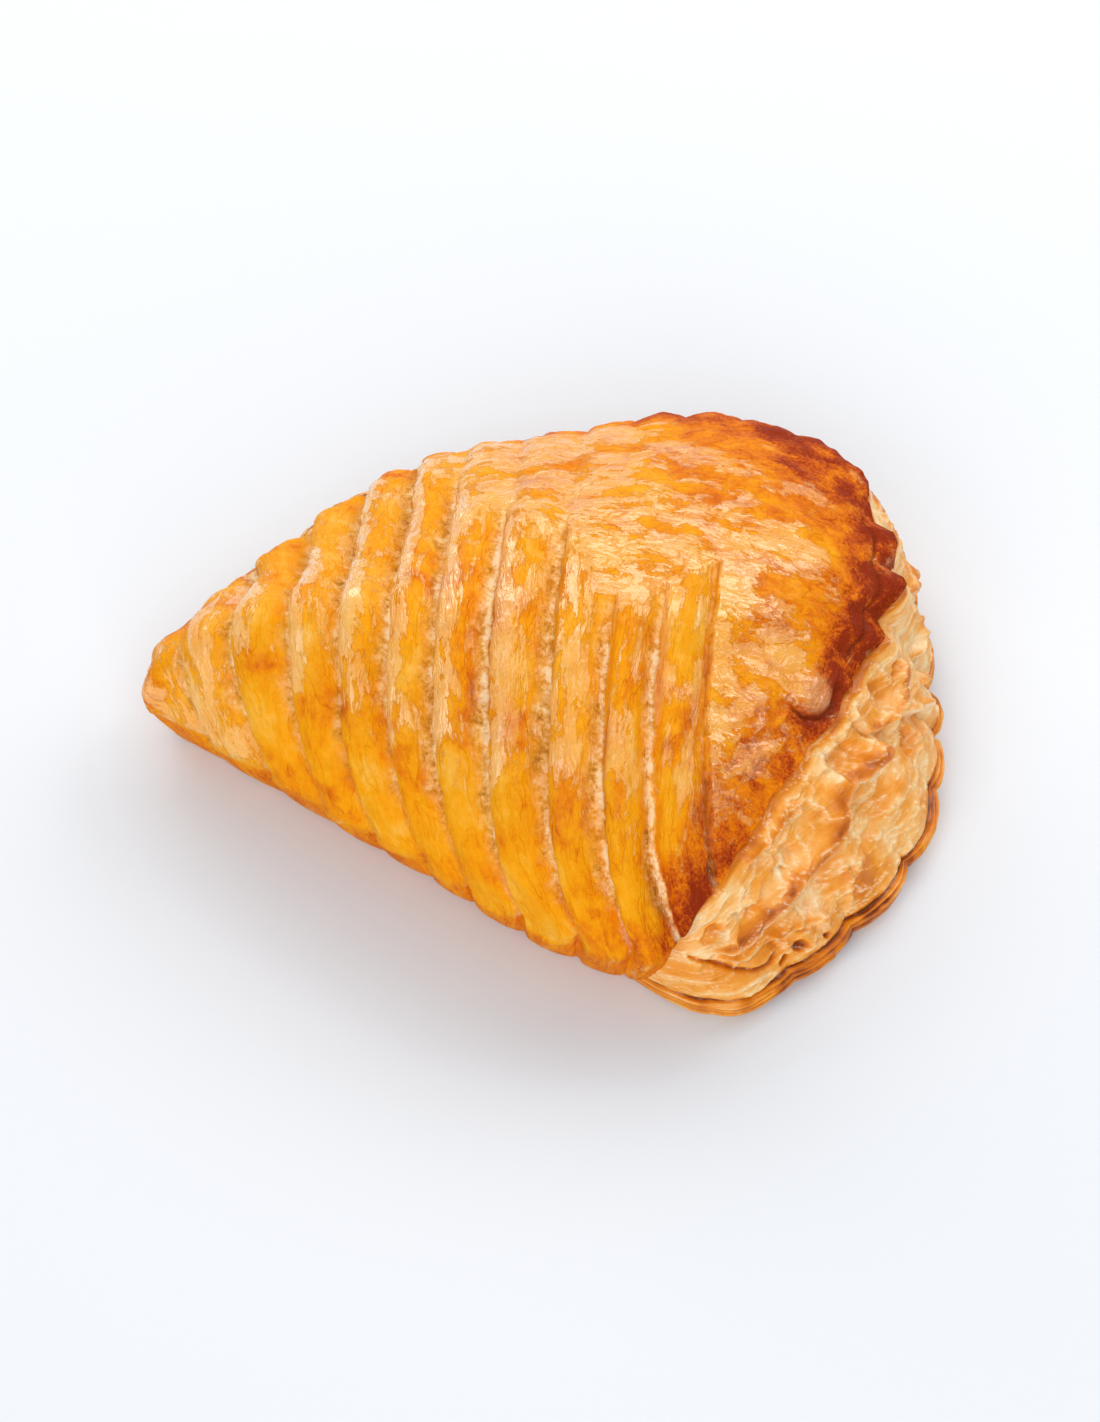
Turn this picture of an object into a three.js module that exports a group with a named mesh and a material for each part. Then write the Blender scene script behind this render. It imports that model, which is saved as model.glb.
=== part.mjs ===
// A turnover: a round of puff pastry folded in half over its filling, scored, glazed and baked shut.
//
// It is one closed solid in millimetres, +Z up. The fold runs along +X at the front (low Y). The cut rim
// runs from the fold's right end round the back to its left end, and there the baked layers have opened.
// Angles are in degrees from +X towards +Y, about a centre in the middle of the pastry, and the finished
// solid stands on Z = 0 with its origin in the middle of its underside.
import * as THREE from 'three';
import { ConvexHull } from 'three/addons/math/ConvexHull.js';

// ---- The plan ----

// Distance of the cut rim from the centre, at a few angles. The outer two lie past the ends of the fold.
const RIM_DISTANCE = [
	[-60, 66.9], [-31, 60], [-10, 60.3], [15, 63.7], [40, 64.2], [65, 68.7],
	[90, 66], [120, 55], [150, 57.1], [180, 59.5], [209, 70.3], [240, 85.5],
];

// Distance of the straight fold from the centre. It bellies out a little in the middle.
const FOLD_DISTANCE = [[200, 29], [235, 32.6], [270, 34.7], [305, 35.4], [340, 29.3]];
const FOLD_FACING = - 0.08; // the fold is met by rays whose sine is below this
const CORNER_SHARPNESS = 18; // how tightly the rim turns into the fold
const RIM_HALF_TURN = 119; // the rim reaches this far to each side of straight back

// How far the top crust's edge stands back from the rim: widest at the right, where the layers fan open.
const SET_BACK = [
	[-60, 13], [-30, 14.5], [-15, 15.5], [4, 18.5], [22, 16.5], [35, 11.5], [50, 7], [65, 5], [100, 5.5], [240, 6],
];

// ---- Heights ----

const HEIGHT = 45.2;
const CROWN_X = 6.3; // the crown stands a little right of the centre
const CROWN_ROUNDNESS = 2.1; // exponent of the dome: 2 is an ellipse, more is flatter on top
const FOLD_BULGE_Z = 13; // height at which the folded side stands out furthest
const LEFT_END_Z = 10.5;
const EDGE_Z = [[-31, 26.2], [15, 27.6], [90, 26.1], [125, 24.4], [165, 17.3], [209, 14.3]]; // of the crust, round the rim
const RIM_Z = 2.8; // height of the bottom layer's rim
const RIM_Z_BACK = 5.3;
const UNDER_CURL = 7; // how far the fold rolls in under itself
const UNDER_RIM = 6; // how far the rim stands out past what touches the table
const FOLD_POWER = 0.5; // the dome meets the fold upright, as an ellipse does
const RIM_POWER = 0.98; // and the rim at a slope

// ---- The scores ----

// The cuts are parallel: they lean over to the left as they run back from the fold, by SCORE_SLANT for
// each millimetre, and swing to the right as they drop down the front.
const SCORE_SLANT = 0.497;
const SCORE_SWING = 0.0083;
const FRONT_FROM_Y = - 14; // in front of this the swing is whole,
const FRONT_TO_Y = 6; // and behind this there is none
const FIRST_SCORE = - 71.2;
const BAND_WIDTHS = [12.7, 11.6, 9.5, 9.3, 8.3, 10, 11.2, 10.1, 8.9, 8.7];
const PLAIN_BAND = 9.5; // width of the bands past the last cut, which only carry the mesh
const SCORE_DEPTH = 1.9;
const CROWN_OF_BAND = 0.7; // how far a band swells above its own edges
const LIP = 0.1; // share of a band that its raised left lip takes
const GLAZED = 0.66; // share of a band at which its glazed top ends
const FLOOR = 0.84; // share of a band at which its opened floor starts
const PHASES = [0, LIP, 0.38, GLAZED, FLOOR];

// To the right of the middle the cuts run out part way up the dome.
const CUTS_SHORTEN_FROM = - 12;
const CUTS_SHORTEN_TO = 2;
const LONG_CUT_Y = 75;
const SHORT_CUT_Y = - 5;
const CUT_FADE = 16;

// ---- The cut rim ----

// Where the rim is pinched between its flutes, in degrees: one by one round the open end, then evenly.
const OPEN_PINCHES = [- 46, - 32, - 18, - 5, 9.5, 23.5, 32.5, 41.5, 54.5, 64.5];
const PINCH_PITCH = 8.6;
const SCALLOP_DEPTH = 1.9;
const SCALLOP_STEP = 1.75; // degrees between the points of a flute
const CRUST_SCALLOP = 0.6; // the crust's edge is fluted less deeply than the rim below it
const LAYER_TURN = 2.3; // degrees that each layer's flutes are shifted on from those above

// Two lines wander along the opened side: the browned lip of a layer that stands out, and the crevice above
// the rim. Each stop gives the share of the way down from the crust's edge to the rim.
const LIP_LINE = [
	[-60, 0.5], [-31, 0.52], [-15, 0.47], [-4, 0.5], [2, 0.42], [7, 0.31], [14, 0.4], [19, 0.41], [24, 0.27], [33, 0.22],
	[45, 0.36], [60, 0.3], [80, 0.42], [105, 0.36], [130, 0.48], [160, 0.4], [185, 0.5], [209, 0.45],
];
const CREVICE_LINE = [[-31, 0.6], [-25, 0.74], [-18, 0.84], [-4, 0.88], [24, 0.9], [60, 0.86], [150, 0.85], [209, 0.75]];

// The rows of points down the opened side: each one's place among the crust's edge (0), the lip (1), the
// crevice (2) and the rim (3), and how far it stands out in millimetres.
const LAYER_ROWS = [
	[0.14, 0.35], [0.3, - 1.1], [0.52, 0.3], [0.62, - 0.8], [0.95, 1.2],
	[1.09, - 0.9], [1.42, - 1.4], [1.75, - 0.8], [1.97, - 1.3], [2.35, 0.7], [3, 0],
];
const EDGE_CALM = 0.55; // share of the relief that is gone at the crust's edge

// ---- The mesh ----

const ROW_COUNT = 34; // rows of points across the crust, square to the cuts
const ROW_TURN = 26; // degrees that the rows are turned from the fold
const ROW_SHEAR = 0.15; // settles which way each four points are split
const CLEAR_OF_EDGE = 0.965; // inner points stay inside this share of the crust
const STEP = 0.01;
const FINE_STEP = 1e-4;

const FAR = 1e3;

function toRadians( degrees ) {

	return THREE.MathUtils.degToRad( degrees );

}

// The angle between -60 and 300, so that the rim is one unbroken stretch.
function unrolled( angle ) {

	return THREE.MathUtils.euclideanModulo( angle + 60, 360 ) - 60;

}

function turnBetween( a, b ) {

	return THREE.MathUtils.euclideanModulo( a - b + 180, 360 ) - 180;

}

function bump( angle, centre, width ) {

	return Math.exp( - ( ( turnBetween( angle, centre ) / width ) ** 2 ) );

}

function smooth( from, to, value ) {

	return THREE.MathUtils.smoothstep( value, from, to );

}

function mix( a, b, share ) {

	return a + ( b - a ) * share;

}

// The same uneven number between 0 and 1 for the same whole number.
function uneven( whole ) {

	return THREE.MathUtils.euclideanModulo( Math.sin( whole * 12.9898 + 4.1 ) * 43758.5453, 1 );

}

// A smooth curve through stops of [ place, value ].
function through( stops, place ) {

	const last = stops.length - 1;
	const at = THREE.MathUtils.clamp( place, stops[ 0 ][ 0 ], stops[ last ][ 0 ] );
	const found = stops.findIndex( ( stop ) => stop[ 0 ] > at );
	const right = found < 1 ? last : found;
	const left = right - 1;
	const slope = ( i ) => {

		const before = stops[ Math.max( i - 1, 0 ) ];
		const after = stops[ Math.min( i + 1, last ) ];
		return ( after[ 1 ] - before[ 1 ] ) / ( after[ 0 ] - before[ 0 ] );

	};

	const span = stops[ right ][ 0 ] - stops[ left ][ 0 ];
	const u = ( at - stops[ left ][ 0 ] ) / span;
	const rise = stops[ right ][ 1 ] - stops[ left ][ 1 ];
	const swing = ( slope( left ) * ( 1 - u ) - slope( right ) * u ) * span + rise * ( 2 * u - 1 );
	return stops[ left ][ 1 ] + rise * u + u * ( 1 - u ) * swing;

}

// 1 round the cut rim and 0 along the fold.
function onRim( angle, softness ) {

	const turned = Math.abs( turnBetween( angle, 90 ) );
	return 1 - smooth( RIM_HALF_TURN - softness, RIM_HALF_TURN + softness, turned );

}

function outline( angle ) {

	const turned = unrolled( angle );
	const sine = Math.sin( toRadians( angle ) );
	const rimEnd = RIM_DISTANCE[ RIM_DISTANCE.length - 1 ][ 0 ];
	const rim = turned > rimEnd ? FAR : through( RIM_DISTANCE, turned );
	const around = THREE.MathUtils.euclideanModulo( angle, 360 );
	const fold = sine < FOLD_FACING ? through( FOLD_DISTANCE, around ) / - sine : FAR;
	return ( rim ** - CORNER_SHARPNESS + fold ** - CORNER_SHARPNESS ) ** ( - 1 / CORNER_SHARPNESS );

}

function setBack( angle ) {

	return onRim( angle, 9 ) * through( SET_BACK, unrolled( angle ) );

}

function edgeHeight( angle ) {

	const fold = FOLD_BULGE_Z + ( LEFT_END_Z - FOLD_BULGE_Z ) * bump( angle, 209, 22 );
	return mix( fold, through( EDGE_Z, unrolled( angle ) ), onRim( angle, 16 ) );

}

function rimHeight( angle ) {

	return RIM_Z + ( RIM_Z_BACK - RIM_Z ) * bump( angle, 75, 50 );

}

function pinches() {

	const found = [...OPEN_PINCHES];
	while ( found[ found.length - 1 ] < 240 ) {

		found.push( found[ found.length - 1 ] + PINCH_PITCH * ( 0.85 + 0.3 * uneven( found.length ) ) );

	}

	return found;

}

const PINCHES = pinches();

// The fluting pressed into the rim: rounded lobes with narrow notches between them, of uneven depth.
function scallop( angle ) {

	const at = unrolled( angle );
	const next = PINCHES.findIndex( ( pinch ) => pinch > at );
	if ( next < 1 ) return 0;
	const across = ( at - PINCHES[ next - 1 ] ) / ( PINCHES[ next ] - PINCHES[ next - 1 ] );
	const depth = SCALLOP_DEPTH * ( 0.6 + 0.55 * uneven( next ) );
	return onRim( angle, 7 ) * depth * ( Math.sin( Math.PI * across ) ** 0.7 - 0.72 );

}

// The bare crust, not scored or scalloped: reach is 0 at the crown and 1 at the crust's edge.
function bareCrust( angle, reach ) {

	const spread = Math.sin( 0.5 * Math.PI * reach );
	const radius = outline( angle ) - setBack( angle );
	const edge = edgeHeight( angle );
	const power = mix( FOLD_POWER, RIM_POWER, onRim( angle, 20 ) );
	const fall = Math.max( 1 - spread ** CROWN_ROUNDNESS, 0 ) ** power;
	const direction = toRadians( angle );
	const x = CROWN_X + ( radius * Math.cos( direction ) - CROWN_X ) * spread;
	const y = radius * Math.sin( direction ) * spread;
	return new THREE.Vector3( x, y, edge + ( HEIGHT - edge ) * fall );

}

function outwardNormal( angle, reach ) {

	const inner = bareCrust( angle, Math.max( reach - STEP, 0 ) );
	const outer = bareCrust( angle, Math.min( reach + STEP, 1 ) );
	const before = bareCrust( angle - 1, reach );
	const after = bareCrust( angle + 1, reach );
	return outer.sub( inner ).cross( after.sub( before ) ).normalize();

}

// How far along the row of cuts a point lies.
function acrossScores( point ) {

	const swing = SCORE_SWING * ( 1 - smooth( FRONT_FROM_Y, FRONT_TO_Y, point.y ) );
	return point.x + SCORE_SLANT * point.y - swing * ( HEIGHT - point.z ) ** 2;

}

// Where each band starts, with a few plain ones before the first cut and after the last.
function bandStarts() {

	const starts = [FIRST_SCORE - 2 * PLAIN_BAND, FIRST_SCORE - PLAIN_BAND, FIRST_SCORE];
	for ( const width of BAND_WIDTHS ) starts.push( starts[ starts.length - 1 ] + width );
	for ( let i = 0; i < 5; i ++ ) starts.push( starts[ starts.length - 1 ] + PLAIN_BAND );
	return starts;

}

const STARTS = bandStarts();
const LAST_CUT = FIRST_SCORE + BAND_WIDTHS.reduce( ( sum, width ) => sum + width, 0 );

// Height of one band's section, as a share of the cuts' depth: a lip at its left, a crowned and glazed
// top, and an opened floor down to the next lip.
function bandSection( share ) {

	if ( share < LIP ) return mix( - 1, 0, share / LIP );
	if ( share < GLAZED ) {

		const middle = ( share - LIP ) / ( GLAZED - LIP );
		return CROWN_OF_BAND / SCORE_DEPTH * 4 * middle * ( 1 - middle );

	}

	return - smooth( GLAZED, FLOOR, share );

}

function scoreDepth( point, across ) {

	const short = smooth( CUTS_SHORTEN_FROM, CUTS_SHORTEN_TO, across );
	const reach = mix( LONG_CUT_Y, SHORT_CUT_Y, short );
	const ends = 1 - smooth( reach, reach + CUT_FADE, point.y );
	const inside = across < FIRST_SCORE || across > LAST_CUT + LIP * PLAIN_BAND ? 0 : 1;
	return SCORE_DEPTH * ends * inside;

}

// Broad, shallow swells that keep the crust from being even.
function swell( point ) {

	const slow = Math.sin( point.x / 11 + 1.3 ) * Math.cos( point.y / 9 - 0.4 );
	const quick = Math.sin( point.x / 5.1 - point.y / 6.3 );
	return 0.55 * slow + 0.25 * quick;

}

function relief( point ) {

	const across = acrossScores( point );
	const next = STARTS.findIndex( ( start ) => start > across );
	if ( next < 1 ) return swell( point );
	const share = ( across - STARTS[ next - 1 ] ) / ( STARTS[ next ] - STARTS[ next - 1 ] );
	return swell( point ) + scoreDepth( point, across ) * bandSection( share );

}

function crust( angle, reach ) {

	const bare = bareCrust( angle, reach );
	const height = relief( bare ) * ( 1 - EDGE_CALM * smooth( 0.75, 1, reach ) );
	const direction = toRadians( angle );
	const outward = new THREE.Vector3( Math.cos( direction ), Math.sin( direction ), 0 );
	bare.addScaledVector( outwardNormal( angle, reach ), height );
	return bare.addScaledVector( outward, CRUST_SCALLOP * scallop( angle ) * smooth( 0.86, 1, reach ) );

}

// ---- The loop of the crust's edge ----

// Where every phase of every band lies, counted across the cuts.
function phasePlaces() {

	const found = [];
	for ( let i = 0; i + 1 < STARTS.length; i ++ ) {

		for ( const phase of PHASES ) found.push( mix( STARTS[ i ], STARTS[ i + 1 ], phase ) );

	}

	return found;

}

const PHASE_PLACES = phasePlaces();

// The number of the phase at a place, with its share of the way to the next.
function phaseNumber( across ) {

	const next = PHASE_PLACES.findIndex( ( place ) => place > across );
	const after = next < 1 ? PHASE_PLACES.length - 1 : next;
	const from = PHASE_PLACES[ after - 1 ];
	return after - 1 + ( across - from ) / ( PHASE_PLACES[ after ] - from );

}

// The place between low and high at which a growing measure reaches the wanted value.
function crossing( measure, low, high, wanted ) {

	let from = low;
	let to = high;
	while ( to - from > FINE_STEP ) {

		const middle = 0.5 * ( from + to );
		if ( measure( middle ) < wanted ) from = middle;
		else to = middle;

	}

	return from;

}

// Along the fold the edge has a point for each phase of each band, so that every cut runs on round it.
function foldAngles() {

	const from = 90 + RIM_HALF_TURN;
	const to = 450 - RIM_HALF_TURN;
	const acrossAt = ( angle ) => acrossScores( bareCrust( angle, 1 ) );
	const within = PHASE_PLACES.filter( ( wanted ) => acrossAt( from ) < wanted && acrossAt( to ) > wanted );
	return within.map( ( wanted ) => crossing( acrossAt, from, to, wanted ) );

}

function rimAngles() {

	const from = 90 - RIM_HALF_TURN;
	const to = 90 + RIM_HALF_TURN;
	const ends = [from, ...PINCHES.filter( ( pinch ) => pinch > from + 1 && pinch < to - 1 ), to];
	const found = [];
	for ( let i = 0; i + 1 < ends.length; i ++ ) {

		const count = Math.round( ( ends[ i + 1 ] - ends[ i ] ) / SCALLOP_STEP );
		for ( let j = 0; j < count; j ++ ) found.push( mix( ends[ i ], ends[ i + 1 ], j / count ) );

	}

	return [...found, to];

}

const LOOP = [...rimAngles(), ...foldAngles()];

// ---- The side, from the crust's edge down to the table ----

// The share of the way down at which a row lies.
function shareDown( angle, place ) {

	const turned = unrolled( angle );
	const lines = [0, through( LIP_LINE, turned ), through( CREVICE_LINE, turned ), 1];
	const line = Math.min( Math.floor( place ), 2 );
	return mix( lines[ line ], lines[ line + 1 ], place - line );

}

// Distance and height of a point of the cut side.
function openedSide( angle, place, standsOut ) {

	const fluted = scallop( angle + LAYER_TURN * Math.min( place, 3 - place ) );
	const from = outline( angle ) - setBack( angle ) + CRUST_SCALLOP * fluted;
	const drop = edgeHeight( angle ) - rimHeight( angle );
	const across = outline( angle ) + fluted - from;
	const length = Math.hypot( across, drop );
	const down = shareDown( angle, place );
	const out = standsOut * ( 0.8 + 0.4 * Math.sin( toRadians( 9 * angle + 60 * place ) ) );
	return {
		distance: from + across * down ** 0.9 + out * drop / length,
		height: edgeHeight( angle ) - drop * down + out * across / length,
	};

}

// Distance and height of the folded side, which rolls in under itself.
function foldedSide( angle, down ) {

	const turned = 0.5 * Math.PI * down;
	return {
		distance: outline( angle ) - UNDER_CURL * ( 1 - Math.cos( turned ) ),
		height: edgeHeight( angle ) * ( 1 - Math.sin( turned ) ),
	};

}

function sidePoint( angle, opened, folded, relief ) {

	const share = onRim( angle, 9 );
	const distance = mix( folded.distance + relief, opened.distance, share );
	const direction = toRadians( angle );
	const height = mix( folded.height, opened.height, share );
	return new THREE.Vector3( distance * Math.cos( direction ), distance * Math.sin( direction ), height );

}

// The rows of one angle, from just below the crust's edge to the table.
function side( angle ) {

	const cut = ( 1 - EDGE_CALM ) * relief( bareCrust( angle, 1 ) );
	const count = LAYER_ROWS.length + 2;
	const points = LAYER_ROWS.map( ( [place, out], i ) => {

		const down = ( i + 1 ) / count;
		const faded = cut * ( 1 - down ) ** 2;
		return sidePoint( angle, openedSide( angle, place, out ), foldedSide( angle, down ), faded );

	} );
	const rim = openedSide( angle, 3, 0 );
	const lower = { distance: rim.distance - 0.8, height: 0.45 * rim.height };
	const foot = { distance: rim.distance - UNDER_RIM - rim.height, height: 0 };
	points.push( sidePoint( angle, lower, foldedSide( angle, ( count - 1 ) / count ), 0 ) );
	points.push( sidePoint( angle, foot, foldedSide( angle, 1 ), 0 ) );
	return points;

}

// ---- The crust's points and triangles ----

// The crust is laid out flat on a disc, where its edge is the unit circle. Rows of points cross the disc
// square to the cuts, and each row has a point wherever a phase of a band crosses it.
function onDisc( across, back ) {

	return { angle: THREE.MathUtils.radToDeg( Math.atan2( back, across ) ), reach: Math.hypot( across, back ) };

}

function onRow( row, along ) {

	const turn = toRadians( ROW_TURN );
	const across = along * Math.cos( turn ) - row * Math.sin( turn );
	const back = along * Math.sin( turn ) + row * Math.cos( turn );
	return { ...onDisc( across, back ), row };

}

function edgePlaces() {

	return LOOP.map( ( angle ) => {

		const row = Math.sin( toRadians( angle - ROW_TURN ) );
		return { angle, reach: 1, row, phase: phaseNumber( acrossScores( bareCrust( angle, 1 ) ) ) };

	} );

}

function innerPlaces() {

	const places = [];
	for ( let i = 1; i < ROW_COUNT; i ++ ) {

		const row = CLEAR_OF_EDGE * ( - 1 + 2 * i / ROW_COUNT );
		const half = Math.sqrt( CLEAR_OF_EDGE ** 2 - row ** 2 );
		const acrossAt = ( along ) => {

			const { angle, reach } = onRow( row, along );
			return acrossScores( bareCrust( angle, reach ) );

		};

		PHASE_PLACES.forEach( ( wanted, phase ) => {

			if ( acrossAt( - half ) > wanted || acrossAt( half ) < wanted ) return;
			places.push( { ...onRow( row, crossing( acrossAt, - half, half, wanted ) ), phase } );

		} );

	}

	return places;

}

// Joins places into triangles whose sides follow the phases and the rows: with phase and row as plan,
// they are the underside of the convex hull of the places lifted onto a paraboloid. A triangle that only
// fills a bay in the edge, outside the crust, is left out.
function joined( places, edgeCount ) {

	const plan = places.map( ( { phase, row } ) => ( { x: phase, y: row * ROW_COUNT + ROW_SHEAR * phase } ) );
	const lifted = plan.map( ( { x, y } ) => new THREE.Vector3( x, y, x * x + y * y ) );
	const number = new Map( lifted.map( ( point, i ) => [point, i] ) );
	const triangles = [];
	for ( const face of new ConvexHull().setFromPoints( lifted ).faces ) {

		if ( face.normal.z > - 1e-9 ) continue;
		const corners = [0, 1, 2].map( ( i ) => number.get( face.getEdge( i ).head().point ) );
		const sorted = [...corners].sort( ( i, j ) => i - j );
		if ( sorted[ 2 ] < edgeCount && leftTurn( plan, sorted ) < 0 ) continue;
		triangles.push( leftTurn( plan, corners ) > 0 ? corners : corners.reverse() );

	}

	return triangles;

}

function leftTurn( plan, corners ) {

	const [a, b, c] = corners.map( ( i ) => plan[ i ] );
	return ( b.x - a.x ) * ( c.y - a.y ) - ( b.y - a.y ) * ( c.x - a.x );

}

function pastryGeometry() {

	const edge = edgePlaces();
	const places = [...edge, ...innerPlaces()];
	const points = places.map( ( { angle, reach } ) => crust( angle, reach ) );
	const triangles = joined( places, edge.length );

	const count = LOOP.length;
	let above = LOOP.map( ( _, i ) => i );
	const sides = LOOP.map( side );
	for ( let row = 0; row < sides[ 0 ].length; row ++ ) {

		const below = above.map( ( _, i ) => points.length + i );
		for ( const rows of sides ) points.push( rows[ row ] );
		for ( let i = 0; i < count; i ++ ) {

			const next = ( i + 1 ) % count;
			triangles.push( [above[ i ], below[ i ], below[ next ]] );
			triangles.push( [above[ i ], below[ next ], above[ next ]] );

		}

		above = below;

	}

	points.push( new THREE.Vector3( 0, 0, 0 ) );
	for ( let i = 0; i < count; i ++ ) triangles.push( [above[ i ], points.length - 1, above[ ( i + 1 ) % count ]] );

	const geometry = new THREE.BufferGeometry().setFromPoints( points );
	geometry.setIndex( triangles.flat() );
	geometry.computeBoundingBox();
	const { min, max } = geometry.boundingBox;
	geometry.translate( - 0.5 * ( min.x + max.x ), - 0.5 * ( min.y + max.y ), - min.z );
	geometry.computeVertexNormals();
	return geometry;

}

function pastryMesh() {

	const bakedCrust = new THREE.MeshStandardMaterial( { color: 0xdf9a3c, roughness: 0.4, metalness: 0 } );
	const mesh = new THREE.Mesh( pastryGeometry(), bakedCrust );
	mesh.name = 'pastry';
	return mesh;

}

const turnover = new THREE.Group();
turnover.name = 'turnover';
turnover.add( pastryMesh() );

export default turnover;
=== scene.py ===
# %% [markdown]
# # A puff pastry turnover
# A round of puff pastry is folded over its filling, pressed shut, scored with a blade, brushed with egg and
# baked. The egg turns the top amber and glossy, the cuts open and stay pale and flaky, and at the cut rim
# the layers spring apart. This lesson builds those three looks one by one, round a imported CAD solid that
# fixes the size and the form.

import math

import bpy
import numpy as np
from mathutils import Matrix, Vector, noise


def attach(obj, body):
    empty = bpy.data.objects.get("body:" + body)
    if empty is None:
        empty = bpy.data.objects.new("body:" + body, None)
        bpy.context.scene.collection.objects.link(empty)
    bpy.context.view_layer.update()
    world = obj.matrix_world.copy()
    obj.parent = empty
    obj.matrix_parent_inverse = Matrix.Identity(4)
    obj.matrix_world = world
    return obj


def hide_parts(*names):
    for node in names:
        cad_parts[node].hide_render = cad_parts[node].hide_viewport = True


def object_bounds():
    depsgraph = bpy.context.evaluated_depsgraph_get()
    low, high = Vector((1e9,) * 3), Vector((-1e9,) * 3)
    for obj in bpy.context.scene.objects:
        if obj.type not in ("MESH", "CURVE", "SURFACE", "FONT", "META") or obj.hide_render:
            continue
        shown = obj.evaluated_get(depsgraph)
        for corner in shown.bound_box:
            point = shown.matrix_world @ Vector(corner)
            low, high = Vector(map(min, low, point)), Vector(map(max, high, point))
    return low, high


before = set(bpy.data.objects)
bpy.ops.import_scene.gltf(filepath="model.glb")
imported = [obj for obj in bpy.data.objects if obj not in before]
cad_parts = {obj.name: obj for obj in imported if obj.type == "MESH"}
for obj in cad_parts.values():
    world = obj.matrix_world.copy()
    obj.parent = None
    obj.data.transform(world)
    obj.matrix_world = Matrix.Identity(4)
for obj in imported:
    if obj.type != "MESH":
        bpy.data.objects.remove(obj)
cad_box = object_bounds()
print("CAD box in metres:", [tuple(round(v, 4) for v in corner) for corner in cad_box])

# %% [markdown]
# ## The form, in named sizes
# The pastry has no flat face to measure from, so its form is a few curves about a centre: how far the rim
# and the fold are at each angle, and how high the crust's edge stands. Angles run from +X, the right end
# of the fold, towards +Y, the back. Sizes are in millimetres here and turn into metres when a mesh is made.

# %% Sizes of the plan
RIM_DISTANCE = ((-60, 66.9), (-31, 60), (-10, 60.3), (15, 63.7), (40, 64.2), (65, 68.7),
                (90, 66), (120, 55), (150, 57.1), (180, 59.5), (209, 70.3), (240, 85.5))
FOLD_DISTANCE = ((200, 29), (235, 32.6), (270, 34.7), (305, 35.4), (340, 29.3))
FOLD_FACING = -0.08      # the fold is met by rays whose sine is below this
CORNER_SHARPNESS = 18.0  # how tightly the rim turns into the fold
RIM_MIDDLE = 80          # the opened rim faces this way
RIM_HALF_TURN = 117      # and reaches this far to each side of it
SET_BACK = ((-60, 8), (-38, 9), (-28, 10.5), (-15, 14.5), (4, 18.2), (22, 16.5),
            (35, 11.5), (50, 7), (65, 5), (100, 5.5), (150, 5), (180, 3.5), (209, 1.8), (240, 1.5))
FORM_TO_PART = np.array([0.065, -15.795, 0])  # from the centre of the angles to the part's origin
LOBE_TURN, CORNER_TURN, EDGE_TURN, DOME_TURN = 7, 9, 16, 20  # degrees over which rim turns into fold
print("the rim is", min(d for _, d in RIM_DISTANCE), "to", RIM_DISTANCE[-2][1], "mm from the centre")

# %% Sizes of the heights
HEIGHT = 45.2
CROWN_X = 6.3
CROWN_ROUNDNESS = 2.1
FOLD_POWER = 0.5   # the dome meets the fold upright, as an ellipse does
RIM_POWER = 0.98   # and the rim at a slope
FOLD_BULGE_Z = 13
LEFT_END_Z = 10.5
EDGE_Z = ((-60, 20), (-40, 21.5), (-25, 24.5), (-8, 26.8), (15, 27.6), (90, 26.1), (125, 24.4),
          (165, 17.3), (209, 14.3))
RIM_Z = 2.8
RIM_Z_BACK = 5.3
UNDER_CURL = 7     # how far the fold rolls in under itself
UNDER_RIM = 6      # how far the rim stands out past what touches the table
LEFT_END, LEFT_END_SPREAD = 209, 22  # angle of the left end, where the fold is lower
HIGH_RIM, HIGH_RIM_SPREAD = 75, 50   # and the angle at which the rim is thickest
print("the dome stands", HEIGHT, "mm high")

# %% [markdown]
# ## A few curves to mix sizes with
# These helpers work on whole arrays at once: numpy moves a hundred thousand points in the time that a
# Python loop needs for a few hundred.

# %% Curves
def mix(a, b, share):
    return a + (b - a) * share


def smooth(low, high, value):
    share = np.clip((value - low) / (high - low), 0, 1)
    return share * share * (3 - 2 * share)


def unrolled(angle):
    """The angle between -60 and 300, so that the rim is one unbroken stretch."""
    return (angle + 60) % 360 - 60


def bump(angle, centre, width):
    return np.exp(-((((angle - centre + 180) % 360 - 180) / width) ** 2))


def through(stops, place):
    """A smooth curve through stops of (place, value)."""
    at, value = np.array(stops, float).T
    slope = np.empty(len(at))
    slope[1:-1] = (value[2:] - value[:-2]) / (at[2:] - at[:-2])
    slope[0] = (value[1] - value[0]) / (at[1] - at[0])
    slope[-1] = (value[-1] - value[-2]) / (at[-1] - at[-2])
    place = np.clip(place, at[0], at[-1])
    left = np.clip(np.searchsorted(at, place, side="right") - 1, 0, len(at) - 2)
    span = at[left + 1] - at[left]
    rise = value[left + 1] - value[left]
    share = (place - at[left]) / span
    swing = (slope[left] * (1 - share) - slope[left + 1] * share) * span + rise * (2 * share - 1)
    return value[left] + rise * share + share * (1 - share) * swing


def uneven(whole):
    """The same uneven number between 0 and 1 for the same whole number."""
    return np.sin(whole * 12.9898 + 4.1) * 43758.5453 % 1


def grain(points, size, octaves=3, seed=0.0):
    """Fractal noise of about -1 to 1 at each point, with lumps of the given size in millimetres."""
    lifted = points / size + np.array([seed, 1.7 * seed, -0.6 * seed])
    flat = lifted.reshape(-1, 3)
    values = [noise.fractal(p, 1.0, 2.0, octaves) for p in flat]
    return np.array(values).reshape(lifted.shape[:-1])


def layered(points, layers):
    """A sum of noises, each of (amount, lump size in millimetres, octaves, seed)."""
    return sum(amount * grain(points, size, octaves, seed) for amount, size, octaves, seed in layers)


print("half way along a smooth step:", float(smooth(0, 1, 0.5)))

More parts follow.
